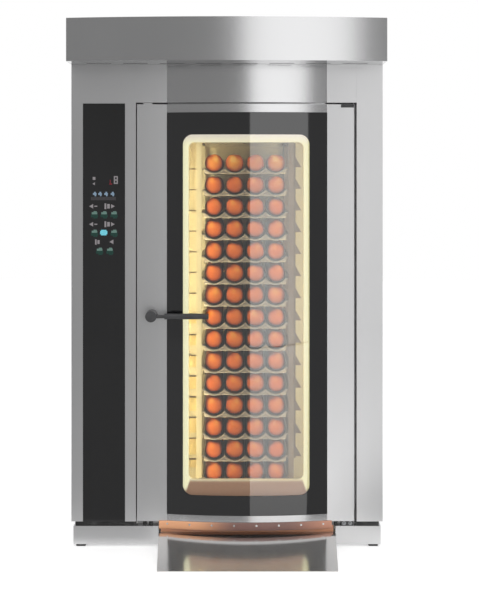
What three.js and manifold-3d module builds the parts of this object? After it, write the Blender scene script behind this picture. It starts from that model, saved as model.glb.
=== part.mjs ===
// Rotating rack oven for one 400 x 600 mm bakery rack.
// Millimetres, +Z up. X runs to the right seen from the front, Y runs from the front to the back.
// Inside this file y = 0 is the flat front face of the cabinet; the exported group is moved along Y
// so that its origin lies under the middle of the whole oven, on the floor.
import * as THREE from "three";
import { mergeVertices } from "three/addons/utils/BufferGeometryUtils.js";
import Module from "manifold-3d";

const wasm = await Module();
wasm.setup();

// ---------------------------------------------------------------- driving dimensions

const sheet = 2; // folded stainless sheet of the casing
const seat = 0.3; // gap between two pieces that touch
const overlap = 1; // how far joined shapes reach into each other

// Cabinet: its width and depth follow from the chamber and these spaces round the insulation
const controlSpace = 214; // wiring space behind the control strip
const rightSpace = 64;
const rearSpace = 61.7;
const cabinetTop = 2168;
const footHeight = 10;
const footRadius = 24;
const footInset = 62;
const plinthTop = 92;
const plinthInset = 8;
const plinthBeam = 44;
const shadowGap = 22; // dark joint between plinth and casing
const shadowInset = 20;
const flange = 30; // inward fold at the edge of a casing panel

// Door and the recess it closes
const doorLapLeft = 115; // how far the door covers the front beside the opening
const doorLapRight = 101;
const doorBottom = 116;
const doorTop = 1990;
const doorDepth = 86; // folded front shell
const doorSkin = 2.5;
const doorGapLeft = 5;
const doorGapRight = 12;
const doorGapTop = 8;
const recessDepth = 100;
const openingOffset = 8; // from the middle of the chamber
const openingInset = 50; // the chamber is wider than the opening by this on each side
const openingTop = 1925;
const sweepBottom = 76; // lower edge of the plate that closes the gap under the door
const sweepInset = 10;

// Bulge of the door glass, the door rails and the header
const bulgeInset = 20; // from the edges of the opening
const bulgeRise = 36;
const bulgeSteps = 16;

// Door glass and the lit window
const glassBottom = 149;
const glassTop = 1953;
const glassThickness = 6;
const glassLedge = 16;
const windowOffset = -4; // from the middle of the bulge
const windowInset = 76; // from the edges of the bulge
const windowBottom = 237;
const windowTop = 1854;
const windowCorner = 44;
const lightSide = 25; // visible width of the light frame beside the window
const lightTop = 34;
const lightBottom = 64;
const lightMargin = 18; // part of the light frame hidden behind the glass border
const lightFront = 3;
const lightBack = 24;
const innerGlassThickness = 5;
const innerGlassBack = 78;
const innerGlassEdge = 14;

// Rear panel
const coolingSlots = 6;
const coolingBottom = 520;
const coolingPitch = 40;
const coolingHeight = 10;
const coolingHalfWidth = 90;
const supplyGland = 32;
const signalGland = 22;
const supplyGlandZ = 1960;
const glandPitch = 80;
const waterInlet = 28;
const waterInletZ = 320;
const coolingInset = 180; // from the left side of the cabinet

// Hinges
const hingeInset = 30;
const hingeDepth = 25;
const hingePinRadius = 8;
const hingeClearance = 0.5;
const hingePinLength = 24;
const hingePlateWidth = 56;
const hingePlateDepth = 40;
const hingePlateFront = 10;

// Handle
const handleInset = 68; // from the left edge of the door
const handleHeight = 1044;
const handleReach = 256;
const handleBar = 13; // radius of the thick part of the lever
const handleNeck = 8;
const handleNeckLength = 60;
const handleStandoff = 70;
const handleHubRadius = 25;
const spindleSide = 12; // square bar through the door
const spindleHole = 12;
const camLength = 36;
const camWidth = 22;
const camThickness = 6;

// Control column
const controlInset = 52; // from the left side of the cabinet
const controlWidth = 189;
const controlTop = 1994;
const controlGlassThickness = 5;
const controlProud = 1;
const controlLedge = 18;

// Baking chamber
const floorTop = 67;
const floorSheet = 7;
const floorRim = 40;
const chamberWidth = 860;
const chamberDepth = 870;
const chamberCeiling = 1960;
const liner = 3;
const sideDuct = 55;
const insulationLeft = 80;
const insulationRight = 66;
const insulationRear = 68;
const insulationRoof = 110;
const plenumDepth = 195; // fan and heater space behind the rear wall
const slotHeight = 16;
const slotMargin = 70; // solid sheet beside and between the air slots
const slotColumns = 1;
const louvreReach = 12;

// Entry ramp
const rampLength = 352;
const rampLap = 18; // past the edges of the opening
const rampTaper = 16; // on each side, towards its front
const rampSheet = 3;

// Hood
const hoodHeight = 189;
const hoodEndOverhang = 170;
const hoodBowRise = 52;
const hoodBowSteps = 24;
const hoodRear = 720;
const intakeSlots = 8;
const intakeSlotWidth = 110;
const intakeSlotDepth = 18;
const intakeBack = 60;
const spigotRadius = 75;
const spigotHeight = 40;
const spigotX = -300;
const spigotY = 480;

// Rack
const tierCount = 15;
const firstTierRise = 67; // lowest tray above the underside of the bottom frame
const topTierDrop = 144; // highest tray below the top of the rack
const trayWidth = 400;
const trayLength = 600;
const traySheet = 2;
const channelCount = 4;
const channelDepth = 24;
const channelSteps = 5;
const trayRim = 8;
const traySideGap = 3;
const postSide = 25;
const rackDepth = 620;
const rackTop = 1850;
const frameBar = 26;
const frameBase = 186; // underside of the rack's bottom frame
const runnerReach = 10;
const runnerSheet = 4;
const hangerWeb = 16;
const hangerWebHeight = 30;
const hangerFlange = 100;
const hangerFlangeThickness = 8;

// Casters
const wheelRadius = 50;
const wheelWidth = 28;
const axleRadius = 6;
const axleClearance = 0.5;
const casterTrail = 28;
const casterStem = 8;
const casterPlate = 56;
const casterInset = 38; // from the sides of the rack
const casterEndInset = 42; // from the ends of the rack
const forkSheet = 4;
const forkGap = 1;

// Rack drive
const liftTravel = 25;
const shaftRadius = 20;
const gearModule = 5;
const gearTeeth = 36; // an even count puts a tooth opposite the pinion's gap
const pinionTeeth = 12;
const gearWidth = 14;
const gearBacklash = 0.6;
const carrierLength = 300;
const carrierPlate = 12;
const carrierDrop = 10; // free height above the rack's hanger
const lipThickness = 8;
const drivePlate = 8;
const carriagePlate = 10;
const carriageLift = 40; // gap between frame and carriage at rest
const postRadius = 11;
const postClearance = 0.5;
const postSpread = 150;
const carriageHalf = 174;
const carriageOverhang = 65; // past the pinion axis and the rack axis
const frameMargin = 20; // of the drive frame beside the carriage
const frameEndMargin = 6;
const motorLength = 150;
const motorHeight = 84;
const motorWidth = 80;
const motorCanRadius = 36;
const motorCanLength = 56;

// Circulation fan
const fanHeight = 1480;
const fanRadius = 205;
const fanWidth = 90;
const fanBlades = 10;
const fanShaftRadius = 14;
const fanGap = 18;
const motorRadius = 92;
const motorProtrusion = 120;

// Heaters
const heaterRods = 6;
const heaterRodRadius = 8;
const heaterRodPitch = 90;
const heaterBottom = 420;
const heaterInset = 50; // from the sides of the chamber

// Steam vent
const ventOffset = 248; // from the middle of the chamber
const ventInset = 92.3; // from the rear wall
const ventRadius = 52;
const ventWall = 3;
const ventTop = 2250;
const flapThickness = 4;
const flapGap = 1.5;
const flapHeight = 2205;
const flapShaft = 5;

// ---------------------------------------------------------------- derived places

const chamberFront = recessDepth + sheet + seat;
const chamberRear = chamberFront + chamberDepth;
const plenumRear = chamberRear + liner + plenumDepth;
const jacketRear = plenumRear + insulationRear;
const cabinetDepth = jacketRear + rearSpace;
const ductSpan = chamberWidth + 2 * (liner + sideDuct);
const cabinetWidth = controlSpace + insulationLeft + ductSpan + insulationRight + rightSpace;
const halfCabinet = cabinetWidth / 2;
const jacketLeft = controlSpace - halfCabinet;
const jacketRight = halfCabinet - rightSpace;
const ductLeft = jacketLeft + insulationLeft;
const ductRight = jacketRight - insulationRight;
const chamberLeft = ductLeft + sideDuct + liner;
const chamberRight = chamberLeft + chamberWidth;
const chamberCentre = chamberLeft + chamberWidth / 2;
const openingCentre = chamberCentre + openingOffset;
const openingWidth = chamberWidth - 2 * openingInset;
const openingLeft = openingCentre - openingWidth / 2;
const openingRight = openingCentre + openingWidth / 2;
const bulgeCentre = openingCentre;
const bulgeWidth = openingWidth - 2 * bulgeInset;
const windowCentre = bulgeCentre + windowOffset;
const windowWidth = bulgeWidth - 2 * windowInset;
const casingBottom = plinthTop + shadowGap + seat;
const casingTop = cabinetTop - seat;
const foldDepth = flange + shadowInset;
const doorLeft = openingLeft - doorLapLeft;
const doorRight = openingRight + doorLapRight;
const handleX = doorLeft + handleInset;
const recessLeft = doorLeft - doorGapLeft;
const recessRight = doorRight + doorGapRight;
const headerBottom = doorTop + doorGapTop;
const rampLeft = openingLeft - rampLap;
const rampRight = openingRight + rampLap;
const coolingX = coolingInset - halfCabinet;
const landingBack = recessDepth + sheet;
const bulgeLeft = bulgeCentre - bulgeWidth / 2;
const bulgeRight = bulgeCentre + bulgeWidth / 2;
const windowLeft = windowCentre - windowWidth / 2;
const windowRight = windowCentre + windowWidth / 2;
const hingeX = doorRight - hingeInset;
const doorBackY = doorDepth + seat + doorSkin;
const controlLeft = controlInset - halfCabinet;
const controlRight = controlLeft + controlWidth;
const rackY = chamberFront + chamberDepth / 2;
const ventX = chamberCentre + ventOffset;
const ventY = chamberRear - ventInset;
const heaterHalfWidth = chamberWidth / 2 - heaterInset;
const ceilingTop = chamberCeiling + liner;
const jacketTop = ceilingTop + seat + insulationRoof;
const rackWidth = trayWidth + 2 * traySideGap + 2 * postSide;
const casterX = rackWidth / 2 - casterInset;
const casterY = rackDepth / 2 - casterEndInset;
const axleHeight = floorTop + seat + wheelRadius;
const gearRadius = (gearModule * gearTeeth) / 2;
const pinionRadius = (gearModule * pinionTeeth) / 2;
const roofTop = casingTop - sheet - seat;
const driveBase = roofTop + seat;
const carriageBottom = driveBase + drivePlate + carriageLift;
const gearBottom = carriageBottom + carriagePlate + 4;
const hangerTop = rackTop - overlap + hangerWebHeight + hangerFlangeThickness;
const frontMost = -rampLength;
const rearMost = cabinetDepth + motorProtrusion;

// ---------------------------------------------------------------- finishes

const finish = (color, roughness, metalness) =>
  new THREE.MeshStandardMaterial({ color, roughness, metalness });
const stainless = finish(0xb9babc, 0.32, 0.9);
const polished = finish(0xc4c4c6, 0.12, 1);
const galvanised = finish(0x9fa4a8, 0.5, 0.8);
const blackGlass = finish(0x262626, 0.08, 0);
const clearGlass = finish(0xd8e4e0, 0.05, 0);
const warmLight = finish(0xfdf3b4, 0.6, 0);
const blackPlastic = finish(0x2f2f30, 0.5, 0);
const rubber = finish(0x1c1c1c, 0.9, 0);
const mineralWool = finish(0xc9b44a, 1, 0);
const heaterSteel = finish(0x5e4a40, 0.6, 0.7);
const castSteel = finish(0x6a6d70, 0.6, 0.8);
const motorPaint = finish(0x4a5a6a, 0.6, 0.2);
const trayAluminium = finish(0xa7a5a1, 0.4, 0.8);

// ---------------------------------------------------------------- shape helpers

// A three.js geometry becomes a manifold solid that can be cut and joined.
function solidOf(geometry) {
  const bare = new THREE.BufferGeometry();
  const source = geometry.index ? geometry.toNonIndexed() : geometry;
  bare.setAttribute("position", source.getAttribute("position"));
  const merged = mergeVertices(bare, 1e-3);
  return new wasm.Manifold(
    new wasm.Mesh({
      numProp: 3,
      vertProperties: merged.attributes.position.array,
      triVerts: new Uint32Array(merged.index.array),
    }),
  );
}

// A manifold solid becomes a flat-shaded three.js geometry.
function geometryOf(solid) {
  const mesh = solid.getMesh();
  const positions = new Float32Array(mesh.numVert * 3);
  for (let i = 0; i < mesh.numVert; i++) {
    const first = i * mesh.numProp;
    positions.set(mesh.vertProperties.subarray(first, first + 3), i * 3);
  }
  const geometry = new THREE.BufferGeometry();
  geometry.setAttribute("position", new THREE.BufferAttribute(positions, 3));
  geometry.setIndex(new THREE.BufferAttribute(mesh.triVerts, 1));
  const flat = geometry.toNonIndexed();
  flat.computeVertexNormals();
  return flat;
}

const join = (...solids) => solids.flat().reduce((whole, next) => whole.add(next));
const cut = (solid, ...tools) => tools.flat().reduce((rest, tool) => rest.subtract(tool), solid);

// A box between two limits on each axis.
function slab([x0, x1], [y0, y1], [z0, z1]) {
  const box = new THREE.BoxGeometry(x1 - x0, y1 - y0, z1 - z0);
  return solidOf(box.translate((x0 + x1) / 2, (y0 + y1) / 2, (z0 + z1) / 2));
}

// A plan outline standing between two heights.
function upright(shape, z0, z1, curveSegments = 6) {
  const depth = z1 - z0;
  const prism = new THREE.ExtrudeGeometry(shape, { depth, bevelEnabled: false, curveSegments });
  return solidOf(prism.translate(0, 0, z0));
}

// An outline in X and Z running from the front y0 to the back y1.
function fromFront(shape, y0, y1, curveSegments = 6) {
  const depth = y1 - y0;
  const prism = new THREE.ExtrudeGeometry(shape, { depth, bevelEnabled: false, curveSegments });
  return solidOf(prism.rotateX(Math.PI / 2).translate(0, y1, 0));
}

// An outline in Y and Z running from x0 to x1.
function fromSide(shape, x0, x1, curveSegments = 6) {
  const depth = x1 - x0;
  const prism = new THREE.ExtrudeGeometry(shape, { depth, bevelEnabled: false, curveSegments });
  const turn = new THREE.Matrix4().makeBasis(
    new THREE.Vector3(0, 1, 0),
    new THREE.Vector3(0, 0, 1),
    new THREE.Vector3(1, 0, 0),
  );
  return solidOf(prism.applyMatrix4(turn).translate(x0, 0, 0));
}

// A round bar along one axis, from low to high, centred on the two other coordinates.
function bar(axis, [a, b], radius, low, high, sides = 20) {
  const rod = new THREE.CylinderGeometry(radius, radius, high - low, sides);
  const middle = (low + high) / 2;
  if (axis === "x") return solidOf(rod.rotateZ(Math.PI / 2).translate(middle, a, b));
  if (axis === "y") return solidOf(rod.translate(a, middle, b));
  return solidOf(rod.rotateX(Math.PI / 2).translate(a, b, middle));
}

// A turned piece: points are [radius, height along the axis], starting and ending on the axis.
function turned(points, sides = 24) {
  const profile = points.map(([r, h]) => new THREE.Vector2(r, h));
  return solidOf(new THREE.LatheGeometry(profile, sides));
}

const polygon = (points) => new THREE.Shape(points.map(([x, y]) => new THREE.Vector2(x, y)));
const rectangle = ([x0, x1], [y0, y1]) =>
  polygon([
    [x0, y0],
    [x1, y0],
    [x1, y1],
    [x0, y1],
  ]);

// A rectangle with round corners.
function roundedRectangle([x0, x1], [y0, y1], radius) {
  const shape = new THREE.Shape();
  shape.moveTo(x0 + radius, y0);
  shape.lineTo(x1 - radius, y0);
  shape.absarc(x1 - radius, y0 + radius, radius, -Math.PI / 2, 0);
  shape.lineTo(x1, y1 - radius);
  shape.absarc(x1 - radius, y1 - radius, radius, 0, Math.PI / 2);
  shape.lineTo(x0 + radius, y1);
  shape.absarc(x0 + radius, y1 - radius, radius, Math.PI / 2, Math.PI);
  shape.lineTo(x0, y0 + radius);
  shape.absarc(x0 + radius, y0 + radius, radius, Math.PI, 1.5 * Math.PI);
  return shape;
}

// The bulge is an arc through both creases; layers behind its outer face share its centre.
const bulgeRadius = ((bulgeWidth / 2) ** 2 + bulgeRise ** 2) / (2 * bulgeRise);

// Half the width at which a layer of the bulge meets the flat layer beside it.
const creaseHalf = (depth) =>
  Math.sqrt((bulgeRadius - depth) ** 2 - (bulgeRadius - bulgeRise - depth) ** 2);

// Points of the bulge from left to right, set back from its outer face by the given depth.
function bulgeArc(depth, halfWidth = creaseHalf(depth)) {
  const radius = bulgeRadius - depth;
  const originY = bulgeRadius - bulgeRise;
  const edge = Math.asin(halfWidth / radius);
  return Array.from({ length: bulgeSteps + 1 }, (_, i) => {
    const angle = -edge + (2 * edge * i) / bulgeSteps;
    return [bulgeCentre + radius * Math.sin(angle), originY - radius * Math.cos(angle)];
  });
}

// Plan outline of a folded sheet along a line of points, with its thickness to the left of the line.
function folded(points, thickness) {
  const line = points.map(([x, y]) => new THREE.Vector2(x, y));
  const leftOf = (from, to) => {
    const along = to.clone().sub(from).normalize();
    return new THREE.Vector2(-along.y, along.x);
  };
  const second = line.map((point, i) => {
    const into = i > 0 ? leftOf(line[i - 1], point) : leftOf(point, line[1]);
    const out = i < line.length - 1 ? leftOf(point, line[i + 1]) : into;
    const bend = into.clone().add(out);
    return point.clone().addScaledVector(bend, (2 * thickness) / bend.lengthSq());
  });
  return new THREE.Shape([...line, ...second.reverse()]);
}

const move = (solid, x, y, z) => solid.translate([x, y, z]);

// ---------------------------------------------------------------- the group

const oven = new THREE.Group();
oven.position.y = -(frontMost + rearMost) / 2;

function add(name, solid, material) {
  const mesh = new THREE.Mesh(geometryOf(solid), material);
  mesh.name = name;
  oven.add(mesh);
}

const shrink = ([a, b], by) => [a + by, b - by];
const grow = ([a, b], by) => [a - by, b + by];
const around = (middle, half) => [middle - half, middle + half];
const span = (a, b) => [Math.min(a, b), Math.max(a, b)];

// ---------------------------------------------------------------- base, ramp and floor

const lowBeamTop = floorTop - floorSheet - seat;
const plinthHalf = halfCabinet - plinthInset;

function baseFrame() {
  const y = [plinthInset, cabinetDepth - plinthInset];
  const front = [y[0], y[0] + plinthBeam];
  const rear = [y[1] - plinthBeam, y[1]];
  const high = [footHeight, plinthTop];
  const low = [footHeight, lowBeamTop];
  const beams = [
    slab([-plinthHalf, -plinthHalf + plinthBeam], y, high),
    slab([plinthHalf - plinthBeam, plinthHalf], y, high),
    slab([jacketLeft, jacketLeft + plinthBeam], [foldDepth * 3, y[1]], high),
    slab([jacketRight - plinthBeam, jacketRight], [foldDepth * 3, y[1]], high),
    slab([-plinthHalf, plinthHalf], rear, high),
    slab([-plinthHalf, rampLeft - seat], front, high),
    slab([rampRight + seat, plinthHalf], front, high),
    slab([-plinthHalf, plinthHalf], front, low),
    slab([-plinthHalf, plinthHalf], around(rackY, plinthBeam / 2), low),
  ];
  const edge = plinthHalf - shadowInset;
  const strip = [y[0] + shadowInset, y[0] + shadowInset + flange];
  const ledge = [plinthTop - overlap, casingBottom - seat];
  const ledges = [
    slab([-edge, -edge + flange], [strip[0], y[1] - shadowInset], ledge),
    slab([edge - flange, edge], [strip[0], y[1] - shadowInset], ledge),
    slab([-edge, edge], [y[1] - shadowInset - flange, y[1] - shadowInset], ledge),
    slab([-edge, recessLeft - seat], strip, ledge),
    slab([recessRight + seat, edge], strip, ledge),
  ];
  const feet = [-1, 1].flatMap((side) =>
    [footInset, cabinetDepth - footInset].map((footY) =>
      bar("z", [side * (halfCabinet - footInset), footY], footRadius, 0, footHeight + overlap, 16),
    ),
  );
  return join(beams, ledges, feet);
}
add("base_frame", baseFrame(), stainless);

// A sloping plate with two cheeks and a rear edge, open underneath.
function entryRamp() {
  const rear = -seat;
  const slope = (floorTop - rampSheet) / (rampLength + rear);
  const side = polygon([
    [-rampLength, 0],
    [rear, 0],
    [rear, floorTop],
    [-rampLength, rampSheet],
  ]);
  const under = polygon([
    [-rampLength + (2 * rampSheet) / slope, -overlap],
    [rear - rampSheet, -overlap],
    [rear - rampSheet, floorTop - 2 * rampSheet],
    [-rampLength + (2 * rampSheet) / slope, rampSheet / 2],
  ]);
  const plan = (inset) =>
    polygon([
      [rampLeft + rampTaper + inset, -rampLength],
      [rampRight - rampTaper - inset, -rampLength],
      [rampRight - inset, rear],
      [rampLeft + inset, rear],
    ]);
  const body = fromSide(side, rampLeft, rampRight).intersect(upright(plan(0), -1, floorTop + 1));
  const space = fromSide(under, rampLeft, rampRight).intersect(upright(plan(rampSheet), -2, floorTop + 2));
  return cut(body, space);
}
add("entry_ramp", entryRamp(), polished);

function chamberFloor() {
  const z = [floorTop - floorSheet, floorTop];
  const rim = [floorTop - floorSheet, floorTop + floorRim];
  const x = [ductLeft + seat, ductRight - seat];
  const y = [landingBack + seat, plenumRear - seat];
  const tongue = slab([rampLeft, rampRight], [0, y[0] + overlap], z);
  const tray = cut(slab(x, y, rim), slab(shrink(x, liner), [y[0] - 1, y[1] - liner], [floorTop, rim[1] + 1]));
  return join(tongue, tray);
}
add("chamber_floor", chamberFloor(), stainless);

// ---------------------------------------------------------------- casing

function sidePanel(side) {
  const face = side * halfCabinet;
  const x = span(face, face - side * sheet);
  const foldX = span(face, face - side * foldDepth);
  const y = [shadowInset + seat, cabinetDepth - sheet - seat];
  return join(
    slab(x, y, [casingBottom, casingTop]),
    slab(foldX, y, [casingBottom, casingBottom + sheet]),
    slab(foldX, y, [casingTop - sheet, casingTop]),
  );
}
add("side_panel_left", sidePanel(-1), stainless);
add("side_panel_right", sidePanel(1), stainless);

// A column follows the casing from its side flange round the front and into the door recess.
function frontColumn(side, jamb) {
  const face = side * halfCabinet;
  const recess = side < 0 ? recessLeft : recessRight;
  const path = [
    [face, shadowInset],
    [face, 0],
    [recess, 0],
    [recess, recessDepth],
    [jamb, recessDepth],
  ];
  const front = upright(folded(side < 0 ? path : path.reverse(), sheet), casingBottom, casingTop);
  const reveal = slab(
    span(jamb, jamb + side * sheet),
    [recessDepth, recessDepth + flange],
    [floorTop + seat, openingTop - seat],
  );
  const landing = slab(
    span(jamb, recess + side * sheet),
    [recessDepth, landingBack],
    [floorTop + seat, casingBottom + overlap],
  );
  const foot = slab(
    span(side * (halfCabinet - foldDepth - seat), recess + (side * sheet) / 2),
    [sheet / 2, foldDepth],
    [casingBottom, casingBottom + sheet],
  );
  return join(front, reveal, landing, foot);
}

const controlX = [controlLeft, controlRight];
const controlZ = [casingBottom, controlTop];
const controlBack = controlGlassThickness - controlProud;

function controlColumn() {
  const pocket = slab(grow(controlX, seat), [-overlap, controlBack + seat], [
    controlZ[0] - overlap,
    controlZ[1] + seat,
  ]);
  const tray = slab(grow(controlX, seat + sheet), [sheet / 2, controlBack + seat + sheet], [
    controlZ[0],
    controlZ[1] + seat + sheet,
  ]);
  const opening = slab(grow(controlX, -controlLedge), [0, foldDepth * 2], [
    controlZ[0] + foldDepth,
    controlZ[1] - controlLedge,
  ]);
  return cut(join(frontColumn(-1, openingLeft), tray), pocket, opening);
}
add("front_column_left", controlColumn(), stainless);
add("front_column_right", frontColumn(1, openingRight), stainless);
add("control_glass", slab(controlX, [-controlProud, controlBack], [controlZ[0], controlTop]), blackGlass);

// Plan outline of a front with the bulge in it: a set-back of 0 is the outer face.
function bulgedPlan([x0, x1], depth, back) {
  return polygon([[x0, depth], ...bulgeArc(depth), [x1, depth], [x1, back], [x0, back]]);
}

function frontHeader() {
  const x = [recessLeft + seat, recessRight - seat];
  const inner = [x[0] + sheet, x[1] - sheet];
  const back = recessDepth - seat;
  const shell = cut(
    upright(bulgedPlan(x, 0, back), headerBottom, casingTop),
    upright(bulgedPlan(inner, sheet, back + 1), headerBottom + sheet, casingTop + 1),
  );
  const landingX = [openingLeft + seat, openingRight - seat];
  return join(
    shell,
    slab(landingX, [back - overlap, landingBack], [headerBottom, headerBottom + sheet]),
    slab(landingX, [recessDepth, landingBack], [openingTop, headerBottom + sheet]),
    slab(landingX, [recessDepth, recessDepth + flange], [openingTop, openingTop + sheet]),
  );
}
add("front_header", frontHeader(), stainless);

function rearPanel() {
  const y = [cabinetDepth - sheet, cabinetDepth];
  const foldX = around(0, halfCabinet - foldDepth - seat);
  const panel = join(
    slab([-halfCabinet, halfCabinet], y, [casingBottom, casingTop]),
    slab(foldX, [cabinetDepth - foldDepth, cabinetDepth], [casingBottom, casingBottom + sheet]),
  );
  const motorHole = bar("y", [chamberCentre, fanHeight], motorRadius + 12, y[0] - 1, y[1] + 1, 32);
  const cooling = Array.from({ length: coolingSlots }, (_, i) => {
    const z = coolingBottom + i * coolingPitch;
    return slab(around(coolingX, coolingHalfWidth), [y[0] - 1, y[1] + 1], [z, z + coolingHeight]);
  });
  const gland = (x, z, radius, length) => bar("y", [x, z], radius, y[0], y[1] + length, 12);
  const glands = [
    gland(coolingX, supplyGlandZ, supplyGland / 2, supplyGland * 0.9),
    gland(coolingX + glandPitch, supplyGlandZ, signalGland / 2, signalGland),
    gland(coolingX, waterInletZ, waterInlet / 2, waterInlet * 1.3),
  ];
  return join(cut(panel, motorHole, cooling), glands);
}
add("rear_panel", rearPanel(), stainless);

const shaftHole = (low, high) => bar("z", [chamberCentre, rackY], shaftRadius + 12, low, high, 24);
const ventHole = (low, high) => bar("z", [ventX, ventY], ventRadius + 2, low, high, 24);

function roofPanel() {
  const x = around(0, halfCabinet - sheet - seat);
  const y = [foldDepth * 3, cabinetDepth - sheet - seat];
  const z = [roofTop - sheet, roofTop];
  const fold = [roofTop - flange, roofTop];
  const pan = join(
    slab(x, y, z),
    slab(x, [y[0], y[0] + sheet], fold),
    slab(x, [y[1] - sheet, y[1]], fold),
  );
  return cut(pan, shaftHole(z[0] - 1, z[1] + 1), ventHole(z[0] - 1, z[1] + 1));
}
add("roof_panel", roofPanel(), galvanised);

// ---------------------------------------------------------------- hood

const hoodTop = cabinetTop + hoodHeight;

// Plan of the canopy: one shallow bow from side to side.
function hoodPlan(inset, back) {
  const half = halfCabinet - inset;
  const bow = Array.from({ length: hoodBowSteps + 1 }, (_, i) => {
    const t = (2 * i) / hoodBowSteps - 1;
    return [t * half, inset - hoodEndOverhang - hoodBowRise * (1 - t ** 2)];
  });
  return polygon([...bow, [half, back], [-half, back]]);
}

function hoodCanopy() {
  const shell = cut(
    upright(hoodPlan(0, hoodRear), cabinetTop, hoodTop),
    upright(hoodPlan(sheet, hoodRear - sheet), cabinetTop - 1, hoodTop - sheet),
  );
  const spigot = bar("z", [spigotX, spigotY], spigotRadius, hoodTop - overlap, hoodTop + spigotHeight, 24);
  const bore = bar("z", [spigotX, spigotY], spigotRadius - sheet, hoodTop - 5, hoodTop + spigotHeight + 1, 24);
  return cut(join(shell, spigot), bore);
}
add("hood_canopy", hoodCanopy(), stainless);

// Slotted plate that closes the hood ahead of the cabinet front.
function hoodIntake() {
  const back = recessDepth;
  const plate = upright(hoodPlan(sheet + seat, back), cabinetTop, cabinetTop + sheet);
  const rim = cut(
    upright(hoodPlan(sheet + seat, back), cabinetTop, cabinetTop + flange),
    upright(hoodPlan(2 * sheet + seat, back - sheet), cabinetTop - 1, cabinetTop + flange + 1),
  );
  const pitch = (cabinetWidth - 2 * foldDepth) / intakeSlots;
  const slots = Array.from({ length: intakeSlots }, (_, i) => {
    const x = (i - (intakeSlots - 1) / 2) * pitch;
    const y = [-intakeBack - intakeSlotDepth, -intakeBack];
    return slab(around(x, intakeSlotWidth / 2), y, [cabinetTop - 1, cabinetTop + sheet + 1]);
  });
  return cut(join(plate, rim), slots);
}
add("hood_intake", hoodIntake(), stainless);

// ---------------------------------------------------------------- baking chamber

const firstTier = frameBase + firstTierRise;
const tierPitch = (rackTop - topTierDrop - firstTier) / (tierCount - 1);
const tierHeights = Array.from({ length: tierCount }, (_, i) => firstTier + i * tierPitch);
const wallBottom = floorTop + seat;
const wallTop = chamberCeiling - seat;

function chamberJacket() {
  const front = chamberFront + 2;
  const bottom = plinthTop + seat;
  const body = slab([jacketLeft, jacketRight], [front, jacketRear], [bottom, jacketTop]);
  const inside = slab([ductLeft, ductRight], [front - 1, plenumRear], [bottom - 1, ceilingTop + seat]);
  const fanHole = bar("y", [chamberCentre, fanHeight], fanShaftRadius + 6, plenumRear - 1, jacketRear + 1, 20);
  const top = [ceilingTop, jacketTop + 1];
  return cut(body, inside, fanHole, shaftHole(...top), ventHole(...top));
}
add("chamber_jacket", chamberJacket(), galvanised);

// Duct wall with a row of air slots per tray tier, each under a short louvre.
function airWall(side) {
  const outer = side < 0 ? chamberLeft - liner : chamberRight + liner;
  const inner = side < 0 ? chamberLeft : chamberRight;
  const y = [chamberFront, chamberRear + liner];
  const wall = slab(span(outer, inner), y, [wallBottom, wallTop]);
  const length = (chamberDepth - (slotColumns + 1) * slotMargin) / slotColumns;
  const louvre = polygon([
    [inner + side, 0],
    [inner - side * louvreReach, -slotHeight],
    [inner - side * (louvreReach - 1), -slotHeight - 3],
    [inner + side, -6],
  ]);
  const slots = [];
  const louvres = [];
  for (const tier of tierHeights) {
    const z = tier + tierPitch * 0.45;
    for (let column = 0; column < slotColumns; column++) {
      const y0 = y[0] + slotMargin + column * (length + slotMargin);
      const slot = [z - slotHeight - 3, z - 6];
      slots.push(slab([Math.min(outer, inner) - 1, Math.max(outer, inner) + 1], [y0, y0 + length], slot));
      louvres.push(move(fromFront(louvre, y0, y0 + length), 0, 0, z));
    }
  }
  return join(cut(wall, slots), louvres);
}
add("air_wall_left", airWall(-1), stainless);
add("air_wall_right", airWall(1), stainless);

function rearWall() {
  const y = [chamberRear, chamberRear + liner];
  const wall = slab([chamberLeft + seat, chamberRight - seat], y, [wallBottom, wallTop]);
  const bars = 9;
  const pitch = (2 * fanRadius * 0.8) / bars;
  const slots = Array.from({ length: bars }, (_, i) => {
    const dz = (i - (bars - 1) / 2) * pitch;
    const half = Math.sqrt((fanRadius * 0.85) ** 2 - dz * dz);
    const z = fanHeight + dz;
    return slab(around(chamberCentre, half), [y[0] - 1, y[1] + 1], around(z, pitch * 0.3));
  });
  return cut(wall, slots);
}
add("chamber_rear_wall", rearWall(), stainless);

function chamberCeilingPlate() {
  const x = [ductLeft + seat, ductRight - seat];
  const y = [chamberFront, plenumRear - seat];
  const z = [chamberCeiling, ceilingTop];
  const lipX = [chamberLeft + seat, chamberRight - seat];
  const lip = slab(lipX, [y[0], y[0] + liner], [openingTop + sheet + seat, ceilingTop]);
  const plate = join(slab(x, y, z), lip);
  return cut(plate, shaftHole(z[0] - 1, z[1] + 1), ventHole(z[0] - 1, z[1] + 1));
}
add("chamber_ceiling", chamberCeilingPlate(), stainless);

// ---------------------------------------------------------------- heat, fan and steam vent

const fanBack = plenumRear - fanGap;
const fanFront = fanBack - fanWidth;

function heaterBank() {
  const z = [heaterBottom, heaterBottom + (heaterRods - 1) * heaterRodPitch];
  const rods = Array.from({ length: heaterRods }, (_, i) => {
    const height = heaterBottom + i * heaterRodPitch;
    const x = around(chamberCentre, heaterHalfWidth);
    return bar("x", [plenumRear - plenumDepth / 2, height], heaterRodRadius, ...x, 8);
  });
  const plates = [-1, 1].map((side) =>
    slab(
      around(chamberCentre + side * (heaterHalfWidth - 8), 3),
      [chamberRear + liner + seat, plenumRear - seat],
      [z[0] - 30, z[1] + 30],
    ),
  );
  return join(rods, plates);
}
add("heater_bank", heaterBank(), heaterSteel);

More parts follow.
